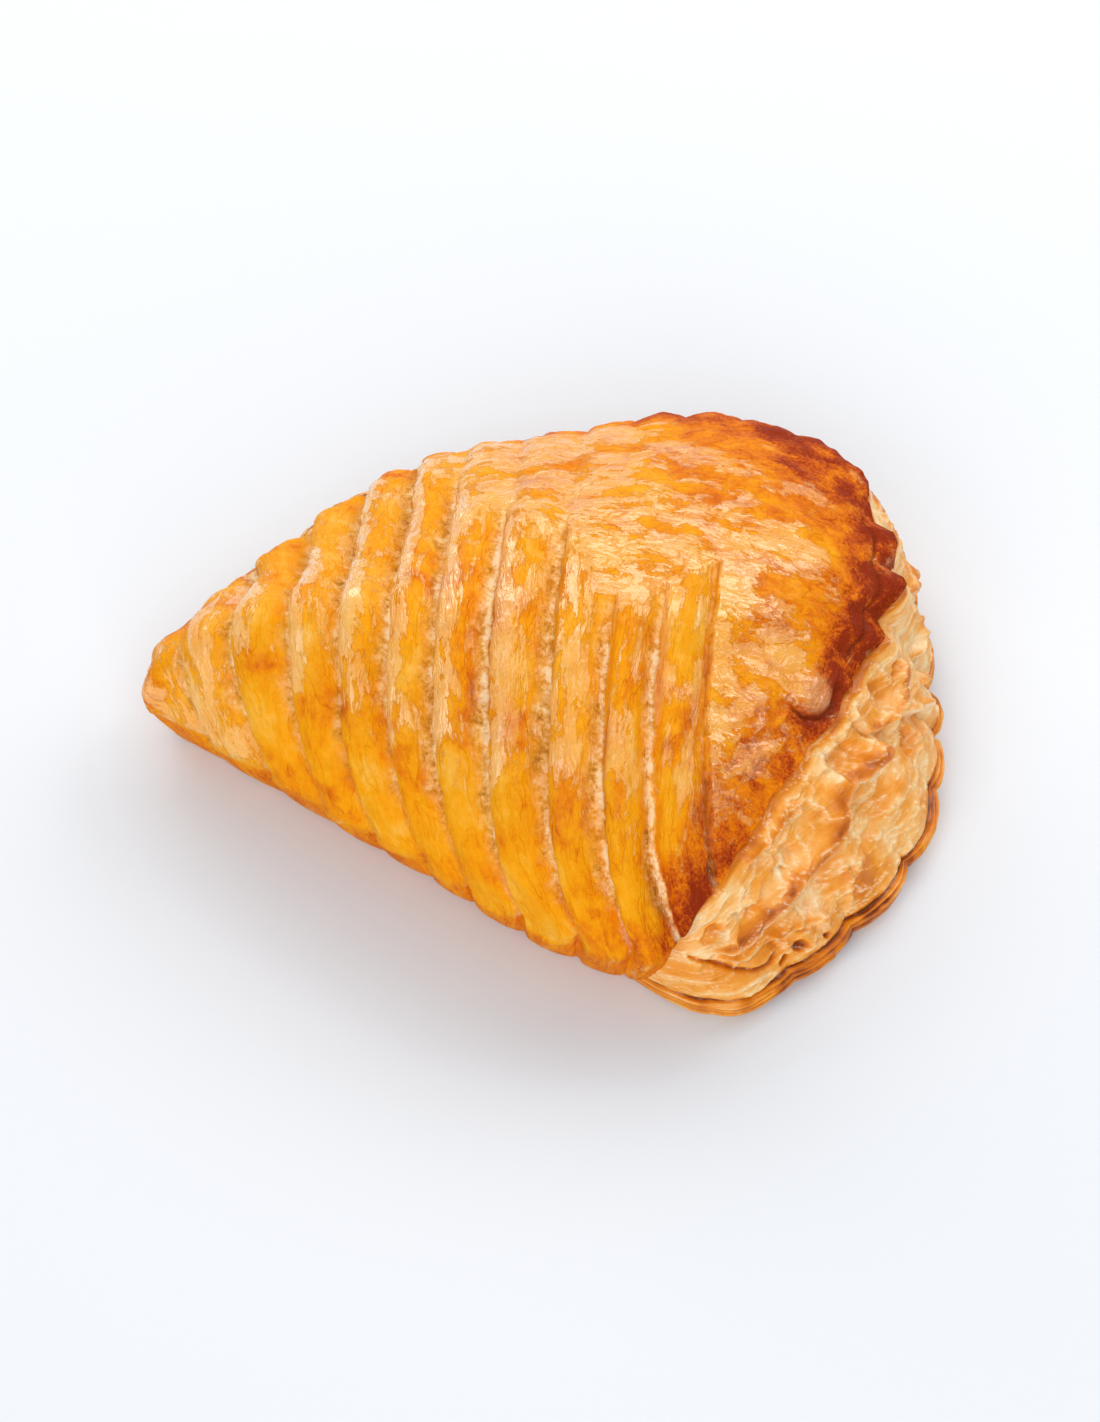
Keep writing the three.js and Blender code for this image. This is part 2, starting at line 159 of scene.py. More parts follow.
# %% The plan and the heights as curves
def on_rim(angle, softness):
    """1 round the cut rim and 0 along the fold."""
    turned = abs((angle - RIM_MIDDLE + 180) % 360 - 180)
    return 1 - smooth(RIM_HALF_TURN - softness, RIM_HALF_TURN + softness, turned)


def outline(angle):
    sine = np.sin(np.radians(angle))
    turned = unrolled(angle)
    rim = np.where(turned > RIM_DISTANCE[-1][0], 1e3, through(RIM_DISTANCE, turned))
    facing = sine < FOLD_FACING
    fold = np.where(facing, through(FOLD_DISTANCE, angle % 360) / np.where(facing, -sine, 1), 1e3)
    return (rim ** -CORNER_SHARPNESS + fold ** -CORNER_SHARPNESS) ** (-1 / CORNER_SHARPNESS)


def set_back(angle):
    return on_rim(angle, CORNER_TURN) * through(SET_BACK, unrolled(angle))


def edge_height(angle):
    fold = FOLD_BULGE_Z + (LEFT_END_Z - FOLD_BULGE_Z) * bump(angle, LEFT_END, LEFT_END_SPREAD)
    return mix(fold, through(EDGE_Z, unrolled(angle)), on_rim(angle, EDGE_TURN))


def rim_height(angle):
    return RIM_Z + (RIM_Z_BACK - RIM_Z) * bump(angle, HIGH_RIM, HIGH_RIM_SPREAD)


def turned_about(angle, distance, height):
    """Points from an angle, a distance from the centre and a height."""
    turn = np.radians(angle)
    return np.stack(np.broadcast_arrays(distance * np.cos(turn), distance * np.sin(turn), height), -1)


def bare_crust(angle, reach):
    """The dome without its cuts: reach is 0 at the crown and 1 at the crust's edge."""
    spread = np.sin(0.5 * np.pi * reach)
    edge = edge_height(angle)
    power = mix(FOLD_POWER, RIM_POWER, on_rim(angle, DOME_TURN))
    fall = np.maximum(1 - spread ** CROWN_ROUNDNESS, 0) ** power
    points = turned_about(angle, (outline(angle) - set_back(angle)) * spread, edge + (HEIGHT - edge) * fall)
    points[..., 0] += CROWN_X * (1 - spread)
    return points


print("the crown is at", bare_crust(np.array(0.0), np.array(0.0)).round(1))

# %% [markdown]
# ## The cuts
# The blade left parallel cuts that lean over to the left as they run back and swing to the right down the
# front. A knife-shaped solid could be taken away from the dome for each of them, but a cut that opened in
# the oven has no plain walls. So one number says how far across the row of cuts a point lies, and a list
# of widths turns it into a band and a share of that band, for all later steps to use.

# %% Places across the cuts
SCORE_SLANT = 0.497
SCORE_SWING = 0.0083
FRONT_FROM_Y = -14
FRONT_TO_Y = 6
FIRST_SCORE = -82
BAND_WIDTHS = (10.8, 12.7, 11.6, 9.5, 9.3, 8.3, 10, 11.2, 10.1, 8.9, 8.7)
CUTS = FIRST_SCORE + np.concatenate([[0], np.cumsum(BAND_WIDTHS)])


def across_cuts(points):
    swing = SCORE_SWING * (1 - smooth(FRONT_FROM_Y, FRONT_TO_Y, points[..., 1]))
    return points[..., 0] + SCORE_SLANT * points[..., 1] - swing * (HEIGHT - points[..., 2]) ** 2


def band_and_share(across):
    """The number of the band at a place (-1 left of the first cut) and the share of the way across it."""
    band = np.searchsorted(CUTS, across, side="right") - 1
    inside = np.clip(band, 0, len(BAND_WIDTHS) - 1)
    return band, (across - CUTS[inside]) / np.array(BAND_WIDTHS)[inside]


print(len(CUTS), "cuts, from", CUTS[0], "to", CUTS[-1].round(1), "mm across")

# %% [markdown]
# ## Columns that follow the cuts
# A cut has a lip less than a millimetre wide. On a mesh whose edges cross it at an angle the lip turns into
# a saw, so the crust is a globe on its side: its poles are the two ends of the pastry, and each of its
# rings runs along the cuts, over the dome from the fold to the rim, and back underneath.

# %% Where the columns lie
EDGE_ANGLES = np.arange(0, 360, 0.25)
EDGE_ACROSS = across_cuts(bare_crust(EDGE_ANGLES, np.ones_like(EDGE_ANGLES)))
LEFT_TIP = EDGE_ANGLES[EDGE_ACROSS.argmin()]
RIGHT_TIP = EDGE_ANGLES[EDGE_ACROSS.argmax()]
COLUMN_SHARES = np.concatenate([np.linspace(0, 0.12, 7), np.linspace(0.16, 0.6, 8),
                                np.linspace(0.64, 0.95, 9), [0.975]])  # closest at a band's lip
PLAIN_STEP = 0.5
TIP_STEPS = (0.0005, 0.004, 0.02, 0.06, 0.13, 0.25, 0.5)  # the first columns crowd at the left tip
TIP_ROOM, RIGHT_ROOM = 0.1, 0.15  # how close the other columns come to those, and to the right tip


def column_places():
    inside = [CUTS[i] + width * COLUMN_SHARES for i, width in enumerate(BAND_WIDTHS)]
    right = CUTS[-1] + np.concatenate([np.linspace(0, 1, 7), np.arange(1.4, 80, PLAIN_STEP)])
    places = np.concatenate([*inside, right])
    start, end = EDGE_ACROSS.min(), EDGE_ACROSS.max()
    places = places[(places > start + TIP_STEPS[-1] + TIP_ROOM) & (places < end - RIGHT_ROOM)]
    return np.concatenate([start + np.array(TIP_STEPS), places])


def edge_angles(across):
    """The two angles at which a column of that place meets the crust's edge: in front and at the back."""
    turned = (EDGE_ANGLES - LEFT_TIP) % 360
    order = np.argsort(turned)
    turned, measure = turned[order], EDGE_ACROSS[order]
    top = (RIGHT_TIP - LEFT_TIP) % 360
    front = turned <= top
    rising = np.maximum.accumulate(measure[front])
    falling = np.maximum.accumulate(measure[~front][::-1])
    in_front = np.interp(across, rising, turned[front])
    behind = np.interp(across, falling, turned[~front][::-1])
    return in_front + LEFT_TIP, behind + LEFT_TIP


COLUMNS = column_places()
FRONT_ANGLES, BACK_ANGLES = edge_angles(COLUMNS)
print(len(COLUMNS), "columns between the tips at", LEFT_TIP, "and", RIGHT_TIP, "degrees")

# %% Where each column crosses the dome
TOP_ROWS = 190
ROW_TURN = 26  # degrees from +X at which the cuts are crossed squarely on the flat disc
HALVINGS = 22


def on_disc(flat):
    return np.degrees(np.arctan2(flat[..., 1], flat[..., 0])), np.hypot(flat[..., 0], flat[..., 1])


def dome_places():
    """Angle and reach of each point of each column. The chord between a column's two ends is moved
    sideways, by halving, until each of its points lies at the column's own place across the cuts."""
    share = np.linspace(0, 1, TOP_ROWS)
    front = np.stack([np.cos(np.radians(FRONT_ANGLES)), np.sin(np.radians(FRONT_ANGLES))], -1)
    back = np.stack([np.cos(np.radians(BACK_ANGLES)), np.sin(np.radians(BACK_ANGLES))], -1)
    chord = mix(front[:, None], back[:, None], share[None, :, None])
    sideways = np.array([math.cos(math.radians(ROW_TURN)), math.sin(math.radians(ROW_TURN))])
    wanted = COLUMNS[:, None]
    middle = chord @ sideways
    half = np.sqrt(np.maximum(middle ** 2 + 1 - (chord ** 2).sum(-1), 0))
    low, high = -middle - half, -middle + half
    for _ in range(HALVINGS):
        trial = 0.5 * (low + high)
        angle, reach = on_disc(chord + trial[..., None] * sideways)
        short = across_cuts(bare_crust(angle, reach)) < wanted
        low = np.where(short, trial, low)
        high = np.where(short, high, trial)
    return on_disc(chord + low[..., None] * sideways)


DOME_ANGLE, DOME_REACH = dome_places()
DOME_REACH = np.minimum(DOME_REACH, 1)
print("dome places:", DOME_ANGLE.shape)

# %% [markdown]
# ## Relief of the crust
# The bands lie like shingles: each has a torn lip at its left that the oven pulled up, a rounded shoulder,
# and a long slope down to the opened floor, where the next band starts. Low on the front the bands were
# stretched less, so a cut there is only a narrow crevice. A crease brush could draw this cut by cut. One
# section that is laid over every band, with its place made ragged by noise, keeps them alike and yet
# torn, and its heights can still be changed in one line.

# %% Section of a band, in millimetres over its own width
BAND_SECTION = ((0, -1.8), (0.015, -1.3), (0.045, 0.1), (0.1, 0.85), (0.22, 1.3), (0.38, 1.15), (0.56, 0.5),
                (0.7, -0.4), (0.8, -1.3), (0.9, -1.75), (1, -1.85))
FADED_SECTION = ((0, -0.9), (0.1, -0.45), (0.25, 0.35), (0.45, 0.6), (0.7, 0.35), (0.9, -0.45), (1, -0.9))
FADED_LEFT, FADED_RIGHT = 0.75, 0.2  # how much of it is left where a cut has run out
SHUT_FROM = 0.88          # share of a shut band at which its crevice starts
OPEN_FROM = 0.71          # and of an open band
SHUT_Z, SHUT_Y, SHUT_X = (26, 15), (4, -6), (-48, -20)  # the bands shut low on the front, to the right
LAST_LIP = 0.35           # the last cut's lip ends this far past it
FRAYING = ((0.42, 5, 3, 3), (0.22, 1.3, 2, 9))     # of the lips, as (amount, lump size, octaves, seed)
RAGGED = ((0.08, 2.4, 3, 11), (0.12, 8, 2, 13))    # of the place where the opened floor starts
RAGGED_LEFT, RAGGED_LEFT_ACROSS = 0.06, (-22, -42)
print("a band swells from", BAND_SECTION[0][1], "to", BAND_SECTION[4][1], "mm")

# %% How far the cuts reach
CUT_REACH = ((-60, 80), (-38, 60), (-28, 24), (-20, 12), (-10, 6), (3, 6), (11, -3), (20, 3), (29, 14))
CUT_WANDER = 2.5          # how far that wanders to and fro along a cut
CUT_FADE = 13             # each cut is open up to its reach on the plan, and has faded this far past it
CUT_JITTER = 5            # the bands end this unevenly, in millimetres


def cut_strength(points, across):
    """1 where the cuts are open, 0 where they have run out."""
    reach = through(CUT_REACH, across) + CUT_WANDER * grain(points, 7, 2, seed=5)
    reach += CUT_JITTER * (uneven(band_and_share(across)[0] + 3) - 0.5)
    ends = 1 - smooth(reach, reach + CUT_FADE, points[..., 1])
    return np.where(across > CUTS[-1] + LAST_LIP, 0, ends)


bare = bare_crust(DOME_ANGLE, DOME_REACH)
x, y, z = np.moveaxis(bare, -1, 0)
across = COLUMNS[:, None] + layered(bare, FRAYING)
band, share = band_and_share(across)
strength = cut_strength(bare, across)
print("cuts are whole on", (strength > 0.9).mean().round(2), "of the dome")

# %% The bands' relief, and where their floors opened
shut = smooth(*SHUT_Z, z) * smooth(*SHUT_Y, y) * smooth(*SHUT_X, x)
shut = np.maximum(shut, smooth(CUTS[-2] + 1, CUTS[-2] + 5, across))
in_band = mix(share, np.interp(share, (0, SHUT_FROM, 1), (0, OPEN_FROM, 1)), shut)
faded = mix(FADED_RIGHT, FADED_LEFT, smooth(12, -10, across)) * smooth(CUTS[-1] + LAST_LIP, CUTS[-1], across)
section = strength * through(BAND_SECTION, in_band) + (1 - strength) * faded * through(FADED_SECTION, share)
ragged = OPEN_FROM + RAGGED_LEFT * smooth(*RAGGED_LEFT_ACROSS, across) + layered(bare, RAGGED)
opened = smooth(ragged - 0.05, ragged + 0.16, in_band) * strength
print("opened on", (opened > 0.5).mean().round(2), "of the dome")

# %% [markdown]
# ## Swells, wrinkles and single marks
# The oven lifts the dome unevenly, and the egg film wrinkles across the bands. A few marks are single
# ones: a bubble that browned on its rim, a crack that follows the crust's edge, and crevices where the
# last cut tore. Each is a short path on the plan, and a point is marked by how near it is. The crack, the
# crevice and the undercut below the bubble also get a painted shade of dark brown.

# %% Swells and wrinkles
WRINKLE_TURN = math.radians(28)  # the wrinkles run this way on the plan, square to the cuts
WRINKLE_STRETCH = 2.0            # how much longer they are than wide
WRINKLE_SIZE, CREASE_SIZE = 13, 14
CREASE_WIDTH = 0.16              # in the noise's own units


def swell(points):
    x, y = points[..., 0], points[..., 1]
    return 0.55 * np.sin(x / 11 + 1.3) * np.cos(y / 9 - 0.4) + 0.25 * np.sin(x / 5.1 - y / 6.3)


def laid_across(points):
    """Places turned and squeezed, so that noise on them is drawn out across the cuts."""
    turn_cos, turn_sin = math.cos(WRINKLE_TURN), math.sin(WRINKLE_TURN)
    along = points[..., 0] * turn_cos + points[..., 1] * turn_sin
    beside = points[..., 1] * turn_cos - points[..., 0] * turn_sin
    return np.stack([along, beside * WRINKLE_STRETCH, points[..., 2] * WRINKLE_STRETCH], -1)


drawn_out = laid_across(bare)
wrinkles = grain(drawn_out, WRINKLE_SIZE, 2, seed=61)
creases = smooth(CREASE_WIDTH, 0, abs(grain(drawn_out, CREASE_SIZE, 3, seed=67)))
on_top = smooth(16, 34, z) * smooth(-30, -8, y + 0.2 * x)
print("creased:", (creases > 0.5).mean().round(2), "of the dome")

# %% Single marks, as paths on the plan in millimetres
EDGE_CRACK = ((30, 51.5), (34.5, 45), (38.2, 37), (40.4, 30), (41.4, 24.5))
LAST_CUT_CREVICE = ((41.6, -19), (41.7, -21))
LAST_CUT_LEFT = ((38.5, -14), (40.8, -28))
TIP_KNOB = (-57.2, -30)
TIP_NOTCH = (-59.4, -26)
BUBBLE_PATH = ((40.4, 16), (40.9, 12.6))
BUBBLE_UNDERCUT = ((42.6, 19), (43.6, 15.6), (43.2, 11.8), (41.6, 9.8), (39.8, 9.4))
SCORCHED = ((42, 21), (40.5, 29), (37.5, 37))
BROWNED_STRIP = ((41, 8), (37, -8))
STREAKS = (((38.5, 10), (36.4, 3.5)), ((40.5, 8), (38.6, 0)), ((41.8, 3), (40, -6)), ((37.5, -1), (37, -7)))


def gap_to(points, path):
    """Distance on the plan, in millimetres, from each point to a path."""
    path = np.array(path, float)
    nearest = np.full(points.shape[:-1], 1e3)
    for start, end in zip(path[:-1], path[1:]):
        step = end - start
        along = np.clip(((points[..., :2] - start) @ step) / (step @ step), 0, 1)
        gap = points[..., :2] - start - along[..., None] * step
        nearest = np.minimum(nearest, np.hypot(gap[..., 0], gap[..., 1]))
    return nearest


wander = 1.4 * np.stack([grain(bare, 3, 4, seed=31), grain(bare, 3, 4, seed=37), 0 * share], -1)
wavering = bare + 0.6 * wander
crack = gap_to(bare + 0.15 * wander, EDGE_CRACK)
crevice = gap_to(wavering, LAST_CUT_CREVICE)
bubble = smooth(2.4, 0.6, gap_to(wavering, BUBBLE_PATH))
undercut = gap_to(bare + 0.3 * wander, BUBBLE_UNDERCUT)
scorched = gap_to(wavering, SCORCHED)
streak = np.min([gap_to(bare + wander, path) for path in STREAKS], 0)
from_knob, from_notch = (np.hypot(x - spot_x, y - spot_y) for spot_x, spot_y in (TIP_KNOB, TIP_NOTCH))
print("nearest point to the crack:", crack.min().round(2), "mm")

# %% Put the crust's relief together
EDGE_CALM = 0.55          # share of the relief that is gone at the crust's edge
DEPTH_LEAST, DEPTH_SPREAD = 0.85, 0.35
SKIN_GRAIN, TORN_FLOOR = 0.16, 0.32
WRINKLE_HEIGHT, CREASE_DEPTH = 0.34, 0.2
BUBBLE_HEIGHT, SCORCHED_GRAIN = 0.75, 0.35
MARKS = (  # distance from a mark, height in millimetres, and how far off it is gone and whole
    (from_knob, 2.1, 3, 0.8), (from_notch, -0.5, 2.4, 0.4), (undercut, -0.9, 0.9, 0.1),
    (crack, -0.6, 0.7, 0), (crevice, -0.8, 0.9, 0), (streak, -0.3, 1.2, 0))


def outward_normal(angle, reach):
    inner = bare_crust(angle, np.maximum(reach - 0.01, 0))
    outer = bare_crust(angle, np.minimum(reach + 0.01, 1))
    along = bare_crust(angle + 1, reach) - bare_crust(angle - 1, reach)
    normal = np.cross(outer - inner, along)
    return normal / np.linalg.norm(normal, axis=-1, keepdims=True)


depth = DEPTH_LEAST + DEPTH_SPREAD * uneven(band)
relief = swell(bare) + depth * section + SKIN_GRAIN * grain(bare, 2.6, seed=1)
relief += opened * TORN_FLOOR * grain(bare, 1.5, 3, seed=7) * mix(1, 0.5, shut)
relief += on_top * (1 - opened) * (WRINKLE_HEIGHT * wrinkles - CREASE_DEPTH * creases)
relief *= 1 - EDGE_CALM * smooth(0.75, 1, DOME_REACH) * on_rim(DOME_ANGLE, EDGE_TURN)
relief += SCORCHED_GRAIN * smooth(7, 2, scorched) * grain(bare, 1.8, 3, seed=73)
relief += BUBBLE_HEIGHT * bubble * (1 + 0.5 * grain(bare, 1.6, 3, seed=75))
for distance, high, gone, whole in MARKS:
    relief += high * smooth(gone, whole, distance)
crust_points = bare + outward_normal(DOME_ANGLE, DOME_REACH) * relief[..., None]
print("relief from", relief.min().round(2), "to", relief.max().round(2), "mm")

# %% [markdown]
# ## The flutes of the rim
# The rim was pressed shut with pinches, so its outline is a row of lobes. The pinches round the open end
# are wide and uneven, and the rest follow in even steps. A ring of copies of one lobe would be too
# regular for a hand-made edge, so a curve of the angle gives each lobe a depth of its own.

# %% Flutes
OPEN_PINCHES = (-46, -32, -18, -5, 9.5, 23.5, 32.5, 41.5, 54.5, 64.5)
PINCH_PITCH = 8.6       # degrees, on the back
LAST_PINCH = 240
SCALLOP_DEPTH = 1.9
CORNER_SCALLOP = 0.4    # share of the depth that is left at the near corner
CRUST_SCALLOP = 0.6
# how far the crust's edge juts out at the open end, by angle
EDGE_LOBES = ((25, 0), (29, -1.2), (35.5, 0.6), (40.5, -1.2), (44, 1.5), (47.5, 1.5), (51, -1), (54, 1.4),
              (56.5, 1.2), (60, -2.2), (66, 0.5), (76, 1.8), (85, 0.5), (95, 0))
EDGE_RAGGED = 0.6       # millimetres of noise on the edge itself


def pinches():
    found = list(OPEN_PINCHES)
    while found[-1] < LAST_PINCH:
        found.append(found[-1] + PINCH_PITCH * (0.85 + 0.3 * uneven(len(found))))
    return np.array(found)


PINCHES = pinches()


def scallop(angle):
    at = np.clip(unrolled(angle), PINCHES[0], PINCHES[-1] - 1e-6)
    right = np.clip(np.searchsorted(PINCHES, at, side="right"), 1, len(PINCHES) - 1)
    share_of_lobe = np.clip((at - PINCHES[right - 1]) / (PINCHES[right] - PINCHES[right - 1]), 0, 1)
    depth = SCALLOP_DEPTH * (0.5 + 0.75 * uneven(right))
    depth = depth * mix(CORNER_SCALLOP, 1, smooth(-20, 8, unrolled(angle)))
    return on_rim(angle, LOBE_TURN) * depth * (np.sin(np.pi * share_of_lobe) ** 0.7 - 0.72)


def crust_scallop(angle):
    """The crust's own edge is fluted less than the rim, but it juts in brown lobes at the open end."""
    return CRUST_SCALLOP * scallop(angle) + through(EDGE_LOBES, unrolled(angle))


def from_edge(angle, reach):
    """Distance in millimetres of a place on the dome from the crust's edge, seen from above."""
    return (outline(angle) - set_back(angle)) * (1 - np.sin(0.5 * np.pi * reach))


edge_gap = from_edge(DOME_ANGLE, DOME_REACH)
near_edge = smooth(8, 0, edge_gap) * on_rim(DOME_ANGLE, CORNER_TURN)
edge_ragged = EDGE_RAGGED * grain(bare, 4, 3, seed=43) * smooth(2, 0, edge_gap)
lean = (crust_scallop(DOME_ANGLE) + edge_ragged) * near_edge
crust_points += turned_about(DOME_ANGLE, lean, 0)
print(len(PINCHES), "pinches")

# %% The sides, from the crust's edge down to the table
SIDE_ROWS = 24
BASE_ROWS = 6
TIP_GAP = 0.05              # share left of the first column's gap, so that no slit shows at the tip
CRUST_THICKNESS = 1.3
HIDDEN_INSET = 2.6
FOOT_SHARES = (0.09, 0.2)   # the bands end this far down the fold, where the base sheet shows
LEDGE = 0.5                 # how far the bands' ends stand out over it
LIP_SHARE, UNDER_LIP = 0.2, 0.12  # shares of the side that turn in under the crust, and that are its cut
RELIEF_LOST = 0.65          # share of the bands' relief that is gone half way down the fold


def side_points(angle, edge_points, edge_relief):
    """Rows from just under the crust's edge to the table. Along the fold they roll in under the pastry.
    Round the rim they turn in under the crust's lip and go down out of sight, behind the opened layers."""
    down = (np.arange(1, SIDE_ROWS + 1) / SIDE_ROWS)[None, :]
    angle = angle[:, None]
    edge = edge_height(angle)
    folded = outline(angle) - UNDER_CURL * (1 - np.cos(0.5 * np.pi * down))
    folded += edge_relief[:, None] * (1 - RELIEF_LOST * smooth(0.05, 0.5, down))
    folded -= LEDGE * smooth(FOOT_SHARES[0], FOOT_SHARES[0] + 0.07, down)
    folded_z = edge * (1 - np.sin(0.5 * np.pi * down))
    lip_turn = smooth(0, LIP_SHARE, down)
    start = outline(angle) - set_back(angle) + crust_scallop(angle)
    sunk = np.clip((down - LIP_SHARE) / (1 - LIP_SHARE), 0, 1)
    hidden = start - HIDDEN_INSET * lip_turn + (set_back(angle) - UNDER_RIM) * sunk
    hidden_z = edge - CRUST_THICKNESS * smooth(0, UNDER_LIP, down) - (edge - CRUST_THICKNESS) * sunk
    share_of_rim = on_rim(angle, CORNER_TURN)
    return turned_about(angle, mix(folded, hidden, share_of_rim), mix(folded_z, hidden_z, share_of_rim))


front_sides = side_points(FRONT_ANGLES, crust_points[:, 0], relief[:, 0])
back_sides = side_points(BACK_ANGLES, crust_points[:, -1], relief[:, -1])
seam = 0.5 * (front_sides[0] + back_sides[0])
front_sides[0], back_sides[0] = mix(seam, front_sides[0], TIP_GAP), mix(seam, back_sides[0], TIP_GAP)
base_share = (np.arange(1, BASE_ROWS + 1) / (BASE_ROWS + 1))[None, :, None]
base_points = mix(back_sides[:, -1:], front_sides[:, -1:], base_share)
ring_points = np.concatenate([crust_points, back_sides, base_points, front_sides[:, ::-1]], 1)
print("rings of", ring_points.shape[1], "points, closed under the pastry")

# %% [markdown]
# ## From a globe to a crust
# A baker's turnover could be sculpted by hand from a ball, with a brush for each cut, but the cuts have to
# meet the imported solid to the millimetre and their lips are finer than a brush. So a sphere from Blender's
# own menu is the ball of clay: it has rings and poles already, closed and with no seam. Its points are
# moved to the places worked out above: the sphere's own height tells a point's column, and its own turn
# tells its row.

# %% Make the crust
def mesh_places(obj):
    places = np.empty(len(obj.data.vertices) * 3)
    obj.data.vertices.foreach_get("co", places)
    return places.reshape(-1, 3)


BOX_LOW, BOX_HIGH = (np.array(corner) for corner in cad_box)
BOX_MARGIN = 0.00002


def move_points(obj, points_mm):
    """Moves a mesh's points to places in the form's millimetres, kept within the solid's own box."""
    places = np.clip(0.001 * (points_mm + FORM_TO_PART), BOX_LOW + BOX_MARGIN, BOX_HIGH - BOX_MARGIN)
    obj.data.vertices.foreach_set("co", places.ravel())
    obj.data.update()


def keep_value(obj, name, values):
    """A number for each point of the mesh, that a material reads by its name."""
    kept = obj.data.attributes.new(name, "FLOAT", "POINT")
    kept.data.foreach_set("value", np.asarray(values, np.float32).ravel())


def face_outwards(obj):
    bpy.ops.object.select_all(action="DESELECT")
    obj.select_set(True)
    bpy.context.view_layer.objects.active = obj
    bpy.ops.object.mode_set(mode="EDIT")
    bpy.ops.mesh.select_all(action="SELECT")
    bpy.ops.mesh.normals_make_consistent(inside=False)
    bpy.ops.object.mode_set(mode="OBJECT")
    bpy.ops.object.shade_smooth()


def globe(name, rings):
    """A sphere whose rings go to the given points, with what tells each point its ring and its row."""
    bpy.ops.object.select_all(action="DESELECT")
    count, rows = rings.shape[:2]
    bpy.ops.mesh.primitive_uv_sphere_add(segments=rows, ring_count=count + 1, radius=1)
    obj = bpy.context.object
    obj.name = obj.data.name = name
    unit = mesh_places(obj)
    ring = np.rint(np.arccos(np.clip(unit[:, 2], -1, 1)) / np.pi * (count + 1)).astype(int)
    row = np.rint(np.arctan2(unit[:, 1], unit[:, 0]) / (2 * np.pi) * rows).astype(int) % rows
    column = np.clip(ring - 1, 0, count - 1)
    places = rings[column, row]
    places[ring == 0] = rings[0][[0, TOP_ROWS - 1]].mean(0)
    places[ring == count + 1] = rings[-1].mean(0)
    move_points(obj, places)
    return obj, column, row


crust, crust_column, crust_row = globe("crust", ring_points)
face_outwards(crust)
triangles = sum(len(p.vertices) - 2 for p in crust.data.polygons)
print("crust:", len(crust.data.vertices), "points,", triangles, "triangles")

# %% Places along the bands
FOOT_VALUES = {"opened": 0, "lip_line": 0, "browned": 0.52, "shaded_crack_gap": 3, "glaze": 0.1, "bubble": 0, "banded": 1,
               "shoulder": 0}


def for_rings(top_values, foot):
    """Values for whole rings from those on the dome. Down the sides they turn into that of the foot."""
    down = (np.arange(1, SIDE_ROWS + 1) / SIDE_ROWS)[None, :]
    ends = (top_values[:, :1], top_values[:, -1:])
    front, back = (mix(end, foot, smooth(*FOOT_SHARES, down)) for end in ends)
    base = np.full((len(COLUMNS), BASE_ROWS), foot)
    return np.concatenate([top_values, back, base, front[:, ::-1]], 1)


def lengths(rows):
    """How far along its row each point is."""
    steps = np.linalg.norm(np.diff(rows, axis=1), axis=-1)
    return np.concatenate([np.zeros((len(rows), 1)), np.cumsum(steps, 1)], 1)


over_top = lengths(crust_points)
down_back = over_top[:, -1:] + lengths(np.concatenate([crust_points[:, -1:], back_sides], 1))[:, 1:]
down_front = -lengths(np.concatenate([crust_points[:, :1], front_sides], 1))[:, 1:]
under = np.repeat(down_back[:, -1:], BASE_ROWS, 1)
along_cut = np.concatenate([over_top, down_back, under, down_front[:, ::-1]], 1)
lay = np.stack([np.broadcast_to(COLUMNS[:, None], along_cut.shape), along_cut, 0 * along_cut], -1)
lay_of_points = crust.data.attributes.new("lay", "FLOAT_VECTOR", "POINT")
lay_of_points.data.foreach_set("vector", (0.001 * lay[crust_column, crust_row]).astype(np.float32).ravel())
print("the longest band is", over_top.max().round(0), "mm long")

# %% Where the crust browned
BROWN_PATCHES = ((0.2, 13, 3, 51), (0.1, 4, 3, 55))
BROWN_BASE = 0.36
MOST_BROWN, INSIDE_FROM = 0.58, 12  # past this many millimetres from the edge nothing is browner
OPEN_END, OPEN_END_SPREAD = 62, 34  # the angle round which the browned edge is wide
BROWN_GONE, BROWN_WHOLE = (5, 13), (0, 2)  # how far in from the edge, elsewhere and at the open end
open_end = bump(DOME_ANGLE, OPEN_END, OPEN_END_SPREAD)
edge_brown = smooth(mix(*BROWN_GONE, open_end), mix(*BROWN_WHOLE, open_end), edge_gap)
edge_brown = edge_brown * on_rim(DOME_ANGLE, CORNER_TURN)
edge_brown = edge_brown * (0.75 + 0.5 * grain(drawn_out, 7, 4, seed=53))
edge_brown = edge_brown * mix(0.95, 1, smooth(-12, 12, unrolled(DOME_ANGLE)))
upper_right = bump(DOME_ANGLE, 66, 40) * smooth(0.3, 0.72, DOME_REACH)
upper_right = upper_right * (1 + 0.5 * grain(drawn_out, 6, 3, seed=57))
BROWNED_SPOTS = (  # how much browner, how near each point is to the middle of the spot
    (0.24, edge_brown), (0.3, upper_right), (0.28, smooth(6.5, 1, gap_to(wavering, LAST_CUT_LEFT))),
    (0.22, smooth(6, 1, scorched) * (0.8 + 1.3 * grain(bare, 2.4, 4, seed=59))),
    (0.14, smooth(6, 1, gap_to(wavering, BROWNED_STRIP))), (0.14, smooth(1.3, 0.2, streak)),
    (0.25, smooth(3, 0, undercut)), (0.2, smooth(3.6, 1, from_knob)), (-0.06, smooth(-15, -40, across)),
    (0.15, smooth(0.1, 0.6, grain(bare, 9, 3, seed=63)) * strength * smooth(-62, -45, x)))
browned = BROWN_BASE + layered(bare, BROWN_PATCHES) + sum(amount * near for amount, near in BROWNED_SPOTS)
browned = np.where(edge_gap > INSIDE_FROM, np.minimum(browned, MOST_BROWN), browned)
browned -= 0.03 * smooth(0.35, 0.6, share) * strength + 0.2 * smooth(7, 1, z)
print("browned from", browned.min().round(2), "to", browned.max().round(2))

